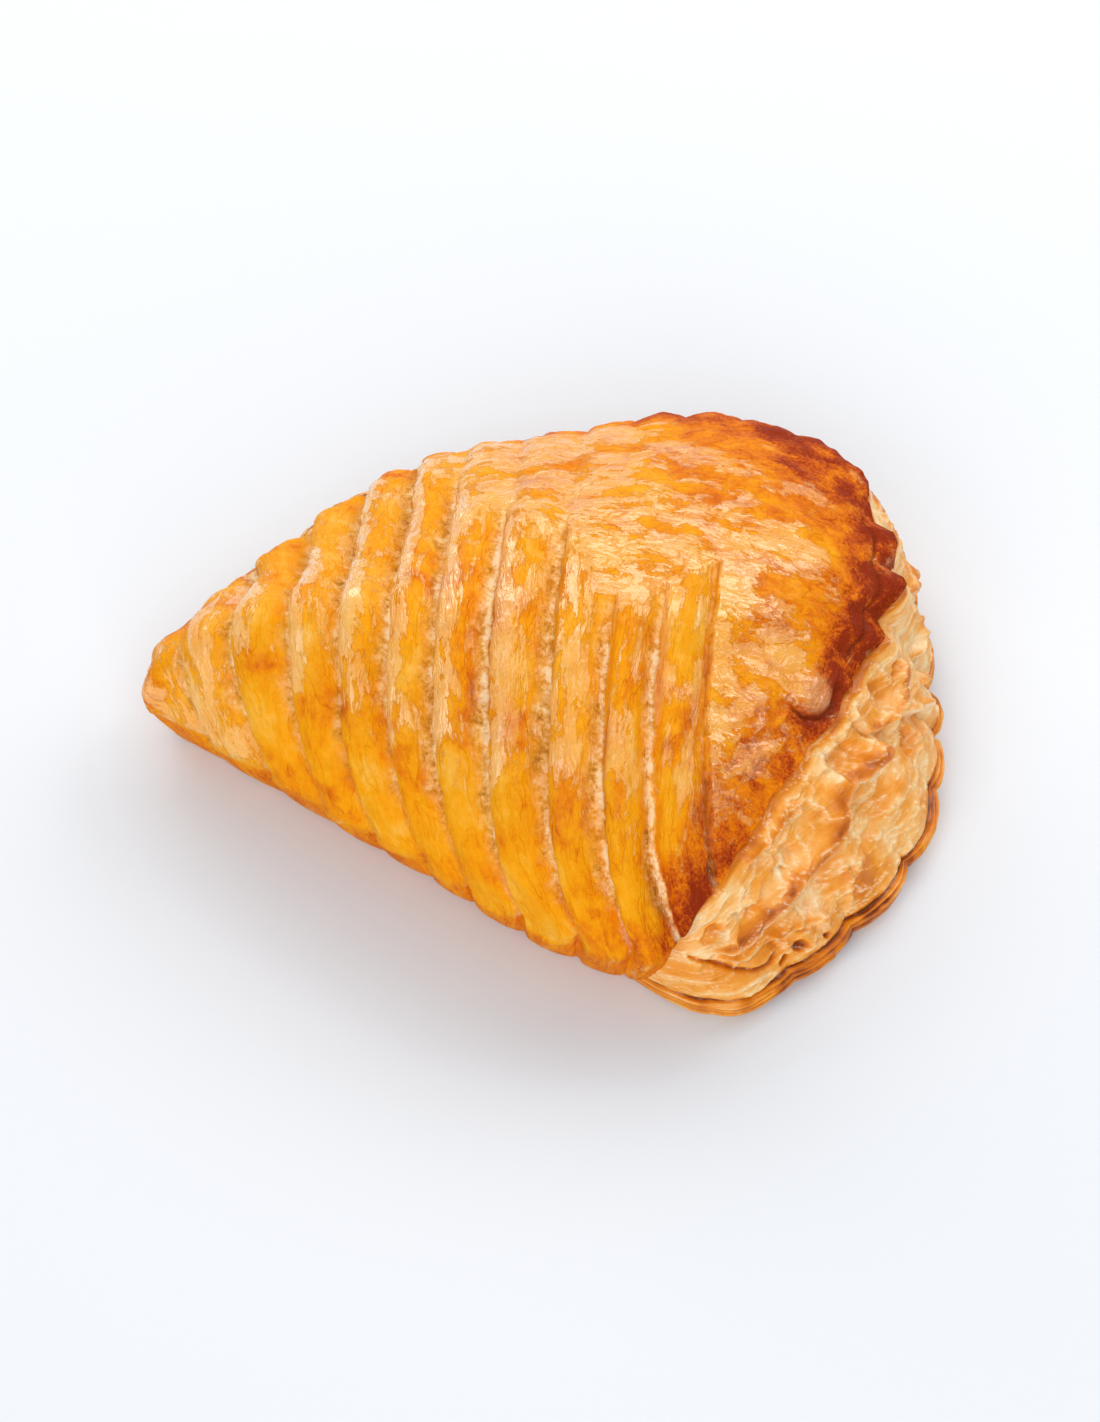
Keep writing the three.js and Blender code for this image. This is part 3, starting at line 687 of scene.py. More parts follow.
# %% Values that the crust's material reads
LIP_FROM = 0.91  # share of a band from which the bottom of the cut shows cream
LIP_WAVER = 0.04
# The band's shoulder: there the painted highlight of the egg film is stronger and its coat glossier.
shoulder = smooth(0.02, 0.12, share) * smooth(0.6, 0.2, share) * mix(0.35, 1, strength)
shoulder = shoulder * smooth(24, -12, across) * smooth(10, 26, z) * (0.75 + 0.6 * grain(bare, 5, 3, seed=65))
glaze = mix(0.03, 1, smooth(17, 32, z + 0.25 * y))
glaze = glaze * (1 - 0.75 * np.clip(edge_brown, 0, 1)) * (1 - 0.8 * opened)
glaze = glaze * (1 - 0.7 * np.clip(upper_right, 0, 1)) * mix(1, 0.66 + 0.8 * shoulder, strength)
glaze = np.maximum(glaze, 0.75 * smooth(-52, -64, across))
lip_line = smooth(LIP_FROM - 0.05, LIP_FROM, share + LIP_WAVER * grain(bare, 2.2, seed=71))
lip_line = lip_line * smooth(1, 0.97, share)
lip_line = lip_line * strength * mix(1, 0.5, shut) * np.clip(0.7 + 1.3 * grain(bare, 8, seed=77), 0.1, 1)
floor_shows = opened * mix(0.95, 0.3, shut) * (0.8 + 0.4 * grain(bare, 6, 2, seed=15))
# How far the crack, the crevice and the bubble's undercut are: near them the material paints dark shade.
shaded_crack_gap = np.minimum(np.min([crack / 0.4, crevice / 0.3, undercut / 0.6 + 0.1], 0), 3)
kept = {"opened": floor_shows, "lip_line": lip_line, "browned": browned, "shaded_crack_gap": shaded_crack_gap, "glaze": glaze,
        "bubble": bubble, "banded": strength, "shoulder": shoulder}
for name, rings in kept.items():
    keep_value(crust, name, for_rings(rings, FOOT_VALUES[name])[crust_column, crust_row])
print("values kept:", [a.name for a in crust.data.attributes if a.data_type == "FLOAT"])

# %% [markdown]
# ## The opened layers
# Between the crust's edge and the rim the layers fan open into pale, hollow films. Where a leaf ends, its
# edge stands out and browned. Loose sheets could be laid over each other, but each would need a thickness,
# an underside and a hidden end, and would cut through its neighbours. Here the sheets are so close that
# relief catches the light as they do. So one grid is laid round this side, and across it a row's place is
# told by four lines: the crust's edge is 0, the crevice over the rim 1, the rim 2 and the table 3. Single
# leaves, slits and pockets are short paths on that side, so that each lies where it should.

# %% Lines and section of the opened side
CREVICE_LINE = ((-47, 0.86), (-31, 0.88), (-24, 0.9), (-16, 0.91), (-4, 0.92), (6, 0.94), (24, 0.95),
                (60, 0.93), (150, 0.91), (209, 0.85))
SIDE_SECTION = ((0, -1.6), (0.02, -0.6), (0.05, 0), (0.3, 0.3), (0.7, 0.3), (0.93, 0.1), (0.97, -0.1),
                (1, -0.9), (1.1, -0.1), (1.35, 0.3), (1.65, 0.4), (2, 0))
RIM_ANGLES = (-47, 207)
SUNK_END = 5       # the side sinks into the crust past its two ends
BULGE_POWER = 0.9  # and bulges out a little on its way down
SIDE_RADIUS = 60   # mean distance of the side, which turns its angles into millimetres
CLOSE_STEP, FAR_STEP = 0.28, 0.5  # degrees between columns round the near end, and behind
NEAR_END = 75
LAYER_ANGLES = np.concatenate([np.arange(RIM_ANGLES[0], NEAR_END, CLOSE_STEP),
                               np.arange(NEAR_END, RIM_ANGLES[1], FAR_STEP)])
LAYER_PLACES = np.concatenate([np.linspace(0, 1, 96), np.linspace(1, 2, 14)[1:], np.linspace(2, 3, 10)[1:]])


def opened_side(angle, place):
    """Points of the opened side, how far each stands out of the plain slope, and how far down it is."""
    crevice = through(CREVICE_LINE, unrolled(angle))
    down = np.clip(place, 0, 1) * crevice + np.clip(place - 1, 0, 1) * (1 - crevice)
    start = outline(angle) - set_back(angle) + crust_scallop(angle)
    drop = edge_height(angle) - rim_height(angle)
    spread = outline(angle) - start
    length = np.hypot(spread, drop)
    under = np.clip(place - 2, 0, 1)
    distance = start + spread * down ** BULGE_POWER + scallop(angle) * smooth(0.35, 1, down)
    distance = distance - (UNDER_RIM + rim_height(angle)) * (1 - np.cos(0.5 * np.pi * under))
    height = edge_height(angle) - drop * down
    height = height * (1 - np.sin(0.5 * np.pi * under)) + 0.2 * under
    out = through(SIDE_SECTION, np.minimum(place, 2)) - SUNK_END * (1 - on_rim(angle, CORNER_TURN))
    outwards = turned_about(angle, drop / length, spread / length)
    return turned_about(angle, distance, height), outwards, out, down


print(len(LAYER_ANGLES) * len(LAYER_PLACES), "points round the opened side")

# %% Single leaves, slits and pockets, as places of (angle, share of the way down)
LEAF_SECTION = ((-4, -0.1), (-1.8, 0.1), (-0.7, 0.8), (0, 1), (0.35, 0.85), (0.55, -0.5), (1.6, -0.6), (4, 0))
LEAVES = (  # path, width and height in mm, how toasted, how creamy its edge
    (((-31, 0.36), (-25.5, 0.44), (-18.5, 0.44), (-13, 0.4), (-8, 0.43), (-3, 0.43), (0.5, 0.39), (2.5, 0.33),
      (4.5, 0.29), (8.5, 0.29), (14, 0.34), (18.5, 0.36), (21.5, 0.33)), 2.1, 2.0, 0.42, 0.9),
    (((-20, 0.1), (-16, 0.09), (-10.5, 0.1), (-5, 0.12), (-0.5, 0.19)), 1.1, 0.8, 0.3, 0.5),
    (((19, 0.04), (20.8, 0.19), (19.5, 0.31)), 0.9, 0.7, 0.05, 0.5),
    (((20, 0.22), (24.5, 0.33), (30.5, 0.4), (34, 0.36), (37, 0.27)), 1.3, 1.0, 0.36, 0.5),
    (((23.5, 0.45), (26, 0.4), (29, 0.45), (32, 0.6), (35.5, 0.78)), 1.0, 1.0, 0.0, 1.0),
    (((-31, 0.45), (-26, 0.58), (-20, 0.62), (-14, 0.62)), 1.2, 0.7, 0.12, 0.5),
    (((-20, 0.64), (-15.5, 0.66), (-11.5, 0.72), (-8, 0.83)), 1.0, 0.8, 0.24, 0.4),
    (((-5, 0.88), (-3, 0.8), (-1.5, 0.7), (-0.5, 0.58)), 0.45, 0.4, 0.0, 0.8),
    (((-26, 0.2), (-22, 0.27), (-20, 0.29), (-17, 0.24)), 0.7, 0.6, 0.0, 0.8),
    (((-16, 0.22), (-12.5, 0.27), (-10.5, 0.37)), 0.35, 0.35, 0.0, 1.0),
    (((-15, 0.34), (-12.5, 0.27), (-9, 0.22)), 0.3, 0.3, 0.0, 1.0),
    (((5, 0.1), (7.5, 0.14), (9.5, 0.25)), 0.35, 0.35, 0.0, 0.9),
    (((40, 0.5), (43, 0.62), (46, 0.6), (49, 0.45)), 0.8, 0.7, 0.2, 0.8),
    (((36, 0.55), (39, 0.7), (42, 0.72)), 1.0, 0.8, 0.3, 0.5),
    (((50, 0.35), (55, 0.6), (60, 0.55), (66, 0.3)), 1.1, 0.9, 0.3, 0.6),
    (((64, 0.5), (75, 0.42), (88, 0.5), (101, 0.4), (117, 0.52), (133, 0.44), (149, 0.5), (165, 0.42)),
     1.6, 1.4, 0.4, 0.8),
    (((80, 0.2), (97, 0.26), (112, 0.2), (135, 0.24)), 1.1, 0.9, 0.3, 0.6),
    (((85, 0.74), (104, 0.68), (126, 0.75), (155, 0.7)), 1.1, 0.9, 0.25, 0.6))
SLITS = (  # path, width and depth in mm, how toasted
    (((-34, 0.33), (-30.5, 0.52), (-25.5, 0.69), (-22, 0.75), (-18.5, 0.74)), 0.38, 0.9, 0.5),)
POCKETS = (  # angle, share down, half width and half height in mm, depth in mm, how toasted
    (12, 0.19, 5.6, 3.4, 1.4, 0.06), (-11.5, 0.3, 4.2, 2.7, 1.1, -0.05), (8, 0.54, 6.5, 4, 1.0, 0.02),
    (-9, 0.64, 6.5, 3.2, 0.7, -0.04), (-22, 0.41, 5.5, 2.6, 0.9, 0.04), (-30, 0.26, 2.4, 2, 0.8, 0.25),
    (26, 0.56, 3, 3.2, 1.5, 0.12), (-15, 0.8, 1.6, 1.3, 1.1, 0.6), (-18.5, 0.82, 1.2, 1, 1.0, 0.6),
    (-10, 0.85, 1.1, 0.8, 0.8, 0.5), (45, 0.52, 3.2, 3, 0.9, -0.04), (28, 0.2, 3.5, 2.6, 0.9, 0.02),
    (58, 0.3, 4, 3, 1.0, 0), (2, 0.76, 7, 3.6, 0.2, 0.2), (34, 0.25, 3, 2, 0.8, 0.25))
SIDE_DROP = 30  # millimetres from the crust's edge down to the rim
SIDE_SCALE = np.array([math.radians(SIDE_RADIUS), SIDE_DROP])  # turns (angle, share down) into millimetres


def finer(path):
    """The path as millimetres round and down the side, with a smooth curve through its places."""
    places = np.array(path) * SIDE_SCALE
    stops = np.arange(len(places))
    steps = np.linspace(0, len(places) - 1, 6 * len(places))
    return np.stack([through(list(zip(stops, values)), steps) for values in places.T], -1)


def beside(places, path):
    """How far below its nearest point of the path each place is, and how far that is from the path's ends."""
    line = finer(path)
    gap, walked, so_far = np.full(len(places), 1e3), np.zeros(len(places)), 0
    for start, end in zip(line[:-1], line[1:]):
        step = end - start
        along = np.clip((places - start) @ step / (step @ step), 0, 1)
        off = places - start - along[:, None] * step
        distance = np.hypot(off[:, 0], off[:, 1])
        closer = distance < abs(gap)
        above = step[0] * off[:, 1] < step[1] * off[:, 0]
        gap = np.where(closer, np.where(above, -distance, distance), gap)
        walked = np.where(closer, so_far + along * np.hypot(*step), walked)
        so_far += np.hypot(*step)
    return gap, np.minimum(walked, so_far - walked)


print(len(LEAVES), "leaves,", len(SLITS), "slit,", len(POCKETS), "pockets")

# %% Make the opened layers
def grid(name, columns, rows):
    """A flat grid, with what tells each of its points its column and row."""
    bpy.ops.object.select_all(action="DESELECT")
    bpy.ops.mesh.primitive_grid_add(x_subdivisions=columns - 1, y_subdivisions=rows - 1, size=2)
    obj = bpy.context.object
    obj.name = obj.data.name = name
    flat = mesh_places(obj)
    column = np.rint((flat[:, 0] + 1) / 2 * (columns - 1)).astype(int)
    row = np.rint((flat[:, 1] + 1) / 2 * (rows - 1)).astype(int)
    return obj, column, row


layers, layer_column, layer_row = grid("opened_layers", len(LAYER_ANGLES), len(LAYER_PLACES))
layer_angle, layer_place = LAYER_ANGLES[layer_column], LAYER_PLACES[layer_row]
slope, outwards, out, down = opened_side(layer_angle, layer_place)
on_side = np.stack([math.radians(SIDE_RADIUS) * unrolled(layer_angle), SIDE_DROP * down], -1)
on_side += 0.8 * np.stack([grain(slope, 5, 2, seed=81), grain(slope, 5, 2, seed=83)], -1)
rim_part = smooth(0.96, 1.03, layer_place)
free = (1 - rim_part) * smooth(0, 0.05, layer_place)
print("layers:", len(layers.data.vertices), "points", 2 * len(layers.data.polygons), "triangles")

# %% Raise the leaves and sink the slits and pockets
TOASTED_BASE, TOASTED = 0.05, ((0.2, 8, 3, 91), (0.06, 2.5, 3, 93))
BILLOWS = ((0.9, 10, 2, 23), (0.25, 4.5, 2, 25))
LEAF_RISE, POCKET_DEPTH = 1.45, 1.4  # times what the lists of leaves and pockets say
toast_and_shade = TOASTED_BASE + layered(slope, TOASTED)
cream_edge_and_sheen = np.zeros_like(toast_and_shade)
stands_out = out + free * layered(slope, BILLOWS)
for path, wide, high, toast, creamy in LEAVES:
    gap, from_end = beside(on_side, path)
    held = free * smooth(0, 3, from_end) * (1 + 0.3 * grain(slope, 6, 2, seed=95))
    stands_out += LEAF_RISE * high * held * through(LEAF_SECTION, gap / wide)
    toast_and_shade += toast * held * np.exp(-((gap / wide + 0.25) / 0.55) ** 2)
    cream_edge_and_sheen = np.maximum(cream_edge_and_sheen, creamy * held * np.exp(-((gap / wide - 0.38) / 0.17) ** 2))
for path, wide, deep, toast in SLITS:
    gap, from_end = beside(on_side, path)
    cut_in = smooth(0, 2, from_end) * np.exp(-(gap / wide) ** 2)
    stands_out -= deep * cut_in
    toast_and_shade += toast * cut_in
for angle, share_down, wide, high, deep, toast in POCKETS:
    off_middle = (on_side - SIDE_SCALE * (angle, share_down)) / (wide, high)
    from_middle = np.hypot(off_middle[:, 0], off_middle[:, 1]) + 0.45 * grain(slope, 4, 3, seed=71 + angle)
    stands_out -= POCKET_DEPTH * deep * free * smooth(1.15, 0.5, from_middle)
    toast_and_shade += toast * free * smooth(1.1, 0.5, from_middle)
print("the leaves stand out from", stands_out.min().round(1), "to", stands_out.max().round(1), "mm")

# %% Crease the films, leaf the rim and move the points
FILM_CREASES = ((8, 0.4), (3.6, 0.16))  # size and height in millimetres
FILM_LAY = (0.6, 1.5, 0)                # the creases run round the side rather than down it
RIM_LEAF_LAY, RIM_LEAF_SIZE, RIM_LEAF_HEIGHT = 0.16, 1.6, 0.5  # thin leaves that run round the rim
RIM_TOASTED, CORNER_TOASTED = 0.5, 0.35
CRUST_LIP_TOASTED, CREVICE_SHADE = 0.42, 0.6
# Painted light on the films: a cream painted highlight along each crease's ridge, painted shade between.
for size, high in FILM_CREASES:
    creased_film = abs(grain(on_side[:, [0, 1, 1]] * FILM_LAY, size, 4, seed=87 + size))
    stands_out += free * high * smooth(0.16, 0, creased_film)
    cream_edge_and_sheen = np.maximum(cream_edge_and_sheen, 0.7 * free * smooth(0.035, 0, creased_film))
    toast_and_shade += 0.1 * free * smooth(0.06, 0.3, creased_film)
down_rim = on_side[:, 1] + 6 * layer_place
on_rim_side = np.stack([RIM_LEAF_LAY * on_side[:, 0], down_rim, 0 * down], -1)
leafy = grain(on_rim_side, RIM_LEAF_SIZE, 3, seed=99)
stands_out += 0.05 * grain(slope, 1.6, 3, seed=21)
stands_out += RIM_LEAF_HEIGHT * rim_part * smooth(2.7, 2.2, layer_place) * leafy
near_corner = smooth(-18, -30, unrolled(layer_angle))
rim_toasted = mix(RIM_TOASTED, CORNER_TOASTED, near_corner) * (1 + 0.6 * grain(slope, 4, 3, seed=97))
# The rim is lighter where its thin leaves stand out and darker between them: painted light and shade.
toast_and_shade += rim_part * (rim_toasted - 0.35 * leafy)
toast_and_shade += CRUST_LIP_TOASTED * smooth(0.075, 0.03, down)
# Painted shade: a dark line along the crevice between the layers and the rim.
toast_and_shade += CREVICE_SHADE * np.exp(-((layer_place - 1.01) / 0.03) ** 2)
move_points(layers, slope + outwards * stands_out[:, None])
bpy.context.view_layer.objects.active = layers
bpy.ops.object.shade_smooth()
for name, values in (("toast_and_shade", toast_and_shade), ("film_edge_and_sheen", cream_edge_and_sheen), ("lines", SIDE_DROP * down)):
    keep_value(layers, name, values)
print("toasted from", toast_and_shade.min().round(2), "to", toast_and_shade.max().round(2))

# %% [markdown]
# ## Colours and a helper for nodes
# A material is a graph: patterns, sums of them, colours, and a shader at the end. In the shader editor each
# node is dragged in and wired by hand. Here one small function adds a node with its settings and links, and
# hands back its output, so that a material reads from top to bottom. Colours are written as they look on a
# screen and turned linear by another function.

# %% Colours and nodes
def colour(hex_code):
    """A screen colour such as F0A030 as linear red, green, blue and alpha."""
    parts = [int(hex_code[i:i + 2], 16) / 255 for i in (0, 2, 4)]
    return [c / 12.92 if c <= 0.04045 else ((c + 0.055) / 1.055) ** 2.4 for c in parts] + [1.0]


def add(tree, kind, inputs=(), out=0, stops=(), **settings):
    """Adds a node and returns one of its outputs. The inputs are values or other nodes' outputs, in order
    or by name. The settings are the node's properties, and a ramp's stops are (place, screen colour)."""
    node = tree.nodes.new(kind)
    for key, value in settings.items():
        setattr(node, key, value)
    for key, value in inputs.items() if isinstance(inputs, dict) else enumerate(inputs):
        if isinstance(value, bpy.types.NodeSocket):
            tree.links.new(value, node.inputs[key])
        else:
            node.inputs[key].default_value = value
    for _ in stops[2:]:
        node.color_ramp.elements.new(0.5)
    for i, (place, hex_code) in enumerate(stops):
        node.color_ramp.elements[i].position = place
        node.color_ramp.elements[i].color = colour(hex_code)
    return node.outputs[out] if node.outputs else None


def new_material(name):
    material = bpy.data.materials.new(name)
    material.use_nodes = True
    material.node_tree.nodes.clear()
    return material, material.node_tree


MATH, NOISE, RAMP = "ShaderNodeMath", "ShaderNodeTexNoise", "ShaderNodeValToRGB"
STEP, SMOOTHLY = "ShaderNodeMapRange", {"interpolation_type": "SMOOTHSTEP"}
MIX, COLOURS, BUMP = "ShaderNodeMix", {"data_type": "RGBA"}, "ShaderNodeBump"
MM = 1000.0  # Object coordinates are in metres: a noise scale of MM / size gives lumps of that size in mm
print("amber as linear colour:", [round(c, 3) for c in colour("F0A030")])

# %% [markdown]
# ## The finish of the glazed crust
# On a real turnover beaten egg is brushed over the dough. In the oven it sets to a thin film: smooth and
# glossy where it pooled, broken by fine veins where the crust stretched, and gone where the cuts opened.
# Under it the crust goes from straw to chestnut. A painted texture could show that, but it would have to be
# unwrapped and would blur close up. Noise in real millimetres stays sharp, and the numbers kept on the
# mesh say where each finish is. A coat over the base shader is the egg film. Where the film pooled, a pale
# peach and cream is also painted into the base colour: a painted highlight of the soft boxes.

# %% Patterns of the egg film
# Egg-washed puff pastry: a glossy cooked egg film over browned crust, so reflections have ragged edges.
CRUST_PATTERNS = {  # lump size in mm across the dome and along the bands, detail, roughness
    "middling": (6, 3, 5.0, 0.65), "streaks": (2.4, 1.1, 4.0, 0.7), "waves": (4.4, 2.6, 3.0, 0.6),
    "pools": (7, 4.5, 6.0, 0.72), "wide_veins": (9, 6, 4.0, 0.6), "fine_veins": (4, 3, 4.0, 0.6)}
BAND_STRETCH = 0.3       # along the bands the patterns are drawn out by one over this
PATTERN_DISTORTION = 0.3

egg_washed_crust, tree = new_material("egg_washed_crust")
where = add(tree, "ShaderNodeTexCoord", out="Object")
value = {name: add(tree, "ShaderNodeAttribute", out="Fac", attribute_name=name) for name in kept}
laid = add(tree, "ShaderNodeAttribute", out="Vector", attribute_name="lay")
on_dome = add(tree, "ShaderNodeMapping", {"Vector": where, "Rotation": (0.0, 0.0, WRINKLE_TURN),
                                          "Scale": (WRINKLE_STRETCH, 1.0, 1.0)}, vector_type="TEXTURE")
on_bands = add(tree, "ShaderNodeMapping", {"Vector": laid, "Scale": (1.0, BAND_STRETCH, 1.0)})
pattern = {}
for name, (dome_size, band_size, detail, roughness) in CRUST_PATTERNS.items():
    both = [add(tree, NOISE, {"Vector": place, "Scale": MM / size, "Detail": detail, "Roughness": roughness,
                              "Distortion": PATTERN_DISTORTION})
            for place, size in ((on_dome, dome_size), (on_bands, band_size))]
    pattern[name] = add(tree, MIX, {"Factor": value["banded"], "A": both[0], "B": both[1]}, "Result",
                        data_type="FLOAT")
small = add(tree, NOISE, {"Vector": where, "Scale": MM / 1.3, "Detail": 4.0, "Roughness": 0.65})
speck = add(tree, NOISE, {"Vector": where, "Scale": MM / 0.6, "Detail": 3.0, "Roughness": 0.7})
coarse = add(tree, NOISE, {"Vector": where, "Scale": MM / 2.2, "Detail": 2.0, "Roughness": 0.6})
print("patterns on the crust:", ", ".join(pattern), "and three even ones")

# %% Veins, pools and their edges
POOLED = (0.64, 0.67)    # the film has pooled where its pattern passes these
pools = add(tree, MATH, (value["glaze"], 0.2, pattern["pools"]), operation="MULTIPLY_ADD")
pooled = add(tree, STEP, (pools, *POOLED), **SMOOTHLY)
FILM_LINES = {  # pattern, the value that it has on the line, and where the step off it starts and ends
    "wide_veins": (pattern["wide_veins"], 0.5, 0.0, 0.02),
    "fine_veins": (pattern["fine_veins"], 0.5, 0.0, 0.03),
    "pool_edges": (pools, 0.645, 0.016, 0.0),
    "crinkles": (pattern["streaks"], 0.5, 0.012, 0.0)}
line = {}
for name, (part, middle, start, end) in FILM_LINES.items():
    off = add(tree, MATH, (part, middle), operation="SUBTRACT")
    off = add(tree, MATH, (off,), operation="ABSOLUTE")
    line[name] = add(tree, STEP, (off, start, end), **SMOOTHLY)
faint_veins = add(tree, STEP, (line["fine_veins"], 0.0, 1.0, 0.6, 1.0), **SMOOTHLY)
film = add(tree, MATH, (line["wide_veins"], faint_veins), operation="MULTIPLY")
print("lines in the film:", ", ".join(line))

# %% How brown the crust is
# What was worked out point by point, broken up by noise. Where it browned most its grain is coarser.
baked = value["browned"]
for part, amount in ((pattern["middling"], 0.6), (small, 0.24), (pattern["streaks"], 0.34), (film, -0.08)):
    baked = add(tree, MATH, (part, amount, baked), operation="MULTIPLY_ADD")
off_middle = add(tree, MATH, (speck, 0.5), operation="SUBTRACT")
coarser = add(tree, STEP, (value["browned"], 0.42, 0.75, 0.12, 0.75), **SMOOTHLY)
grainy = add(tree, MATH, (off_middle, coarser), operation="MULTIPLY")
baked = add(tree, MATH, (baked, 0.47), operation="SUBTRACT")
baked = add(tree, MATH, (baked, grainy), operation="ADD")
crust_colour = add(tree, RAMP, (baked,), stops=(
    (0.0, "F4C67C"), (0.16, "F3B543"), (0.32, "F2A513"), (0.46, "EE9804"), (0.6, "E07906"), (0.76, "BE500C"),
    (0.92, "902C0A")))
print("crust colours:", len(crust_colour.node.color_ramp.elements))

# %% The torn floor of the cuts
speckled = add(tree, MATH, (speck, 0.6), operation="MULTIPLY")
clumps = add(tree, MATH, (coarse, 0.7, speckled), operation="MULTIPLY_ADD")
# Painted shade: the floor is darker away from the lip line, in the lee of the band, over its own speckle.
crumb_and_lee_shade = add(tree, MATH, (value["lip_line"], 0.14, clumps), operation="MULTIPLY_ADD")
crumb_and_lee_shade = add(tree, MATH, (crumb_and_lee_shade, 0.08), operation="SUBTRACT")
floor_colour = add(tree, RAMP, (crumb_and_lee_shade,), stops=(
    (0.42, "A8702A"), (0.53, "D99E46"), (0.66, "F6CC86"), (0.8, "FFEFC8")))
beaded = add(tree, STEP, (clumps, 0.56, 0.74, 0.05, 1.0), **SMOOTHLY)
beads = add(tree, MATH, (value["lip_line"], beaded), operation="MULTIPLY")
print("floor colours:", len(floor_colour.node.color_ramp.elements))

# %% Lay the colours over each other
# Painted highlight: a pale peach and cream painted into the pooled egg film, more on the bands' shoulders.
milky_film_and_sheen = add(tree, MATH, (value["shoulder"], 0.2, 0.32), operation="MULTIPLY_ADD")
for part, *step in ((pattern["streaks"], 0.3, 0.6, 0.6, 1.3), (baked, 0.5, 0.8, 1.0, 0.45)):
    thinned = add(tree, STEP, (part, *step), **SMOOTHLY)
    milky_film_and_sheen = add(tree, MATH, (milky_film_and_sheen, thinned), operation="MULTIPLY")
milky_film_and_sheen = add(tree, MATH, (milky_film_and_sheen, pooled), operation="MULTIPLY")
cream_sheen_streaks = add(tree, STEP, (pattern["streaks"], 0.5, 0.66, 0.0, 0.55), **SMOOTHLY)
film_and_sheen_colour = add(tree, MIX, {"Factor": cream_sheen_streaks, "A": colour("F9C272"), "B": colour("FDDEA4")}, "Result",
                  **COLOURS)
pool_edges, crinkles = (add(tree, MATH, (line[name], value["glaze"]), operation="MULTIPLY")
                        for name in ("pool_edges", "crinkles"))
# Painted shade: dark brown in the crack, the crevice and the undercut below the bubble.
crack_shade = add(tree, MATH, (small, 0.9, value["shaded_crack_gap"]), operation="MULTIPLY_ADD")
crack_shade = add(tree, STEP, (crack_shade, 1.5, 0.8), **SMOOTHLY)
painted = crust_colour
for cover, thickness, over in (
        (milky_film_and_sheen, 1.0, film_and_sheen_colour), (pool_edges, 0.6, colour("CC7414")), (crinkles, 0.4, colour("C06A14")),
        (value["opened"], 1.0, floor_colour), (beads, 0.85, colour("FFE9BE")),
        (value["bubble"], 0.6, colour("D08E5C")), (crack_shade, 0.75, colour("7A2C0A"))):
    cover = add(tree, MATH, (cover, thickness), operation="MULTIPLY")
    painted = add(tree, MIX, {"Factor": cover, "A": painted, "B": over}, "Result", **COLOURS)
print("the crust's colours are laid over each other")

# %% Gloss and fine relief of the crust
waves = add(tree, MATH, (film, 0.3), operation="MULTIPLY")
for part, high in ((pattern["waves"], 1.1), (pattern["streaks"], 0.22), (pooled, 0.2)):
    waves = add(tree, MATH, (part, high, waves), operation="MULTIPLY_ADD")
film_normal = add(tree, BUMP, {"Height": waves, "Strength": 0.9, "Distance": 0.0011})
torn = add(tree, MATH, (speck, value["opened"]), operation="MULTIPLY")
raised = waves
for part in (small, torn):
    raised = add(tree, MATH, (part, 0.9, raised), operation="MULTIPLY_ADD")
crust_normal = add(tree, BUMP, {"Height": raised, "Strength": 0.6, "Distance": 0.0006})
shine = value["glaze"]
for part, least in ((film, 0.25), (pooled, 0.1)):
    dulled = add(tree, STEP, (part, 0.0, 1.0, least, 1.0), **SMOOTHLY)
    shine = add(tree, MATH, (shine, dulled), operation="MULTIPLY")
surface = add(tree, "ShaderNodeBsdfPrincipled", {
    "Base Color": painted, "Roughness": 0.55, "Normal": crust_normal, "Coat Normal": film_normal,
    "Specular IOR Level": 0.06, "IOR": 1.45, "Coat Weight": shine, "Coat Roughness": 0.07, "Coat IOR": 1.8,
    "Subsurface Weight": 0.06, "Subsurface Radius": (1.0, 0.5, 0.2), "Subsurface Scale": 0.0012})
add(tree, "ShaderNodeOutputMaterial", {"Surface": surface})
crust.data.materials.append(egg_washed_crust)
print("crust material:", crust.data.materials[0].name, "with", len(tree.nodes), "nodes")

# %% [markdown]
# ## The finish of the opened layers
# Bare baked puff pastry has no egg on it: dry, flaky sheets, pale cream where steam held them apart, golden
# on what stood out in the oven's heat, and brown along the rim. The mesh says how toasted each point is, as
# its leaves are shapes, and the material only breaks that up. It also holds painted light: painted shade in
# the crevice over the rim, between the films' creases and between the rim's leaves, and cream painted
# highlights along the creases' ridges. Transparent sheets would be nearer to the real films, but they
# render slowly and grainily. A little light goes into the thin sheets, so the shader lets some of it
# scatter below the surface instead.

# %% The opened layers' material
# Bare baked puff pastry: thin dry sheets with a slight sheen from their butter.
baked_puff_layers, tree = new_material("baked_puff_layers")
where = add(tree, "ShaderNodeTexCoord", out="Object")
value = {name: add(tree, "ShaderNodeAttribute", out="Fac", attribute_name=name)
         for name in ("toast_and_shade", "film_edge_and_sheen", "lines")}
broad = add(tree, NOISE, {"Vector": where, "Scale": MM / 5, "Detail": 4.0, "Roughness": 0.6})
small = add(tree, NOISE, {"Vector": where, "Scale": MM / 1.4, "Detail": 5.0, "Roughness": 0.65})
# Toast from the mesh, which also holds painted shade in the crevice, between creases and rim leaves.
baked = value["toast_and_shade"]
for part, amount in ((broad, 0.3), (small, 0.24)):
    baked = add(tree, MATH, (part, amount, baked), operation="MULTIPLY_ADD")
baked = add(tree, MATH, (baked, 0.17), operation="SUBTRACT")
layer_colour = add(tree, RAMP, (baked,), stops=(
    (0.04, "F8D8A4"), (0.22, "F2BC70"), (0.38, "EDA038"), (0.54, "DE860E"), (0.74, "C66A08"),
    (0.96, "7C3408")))
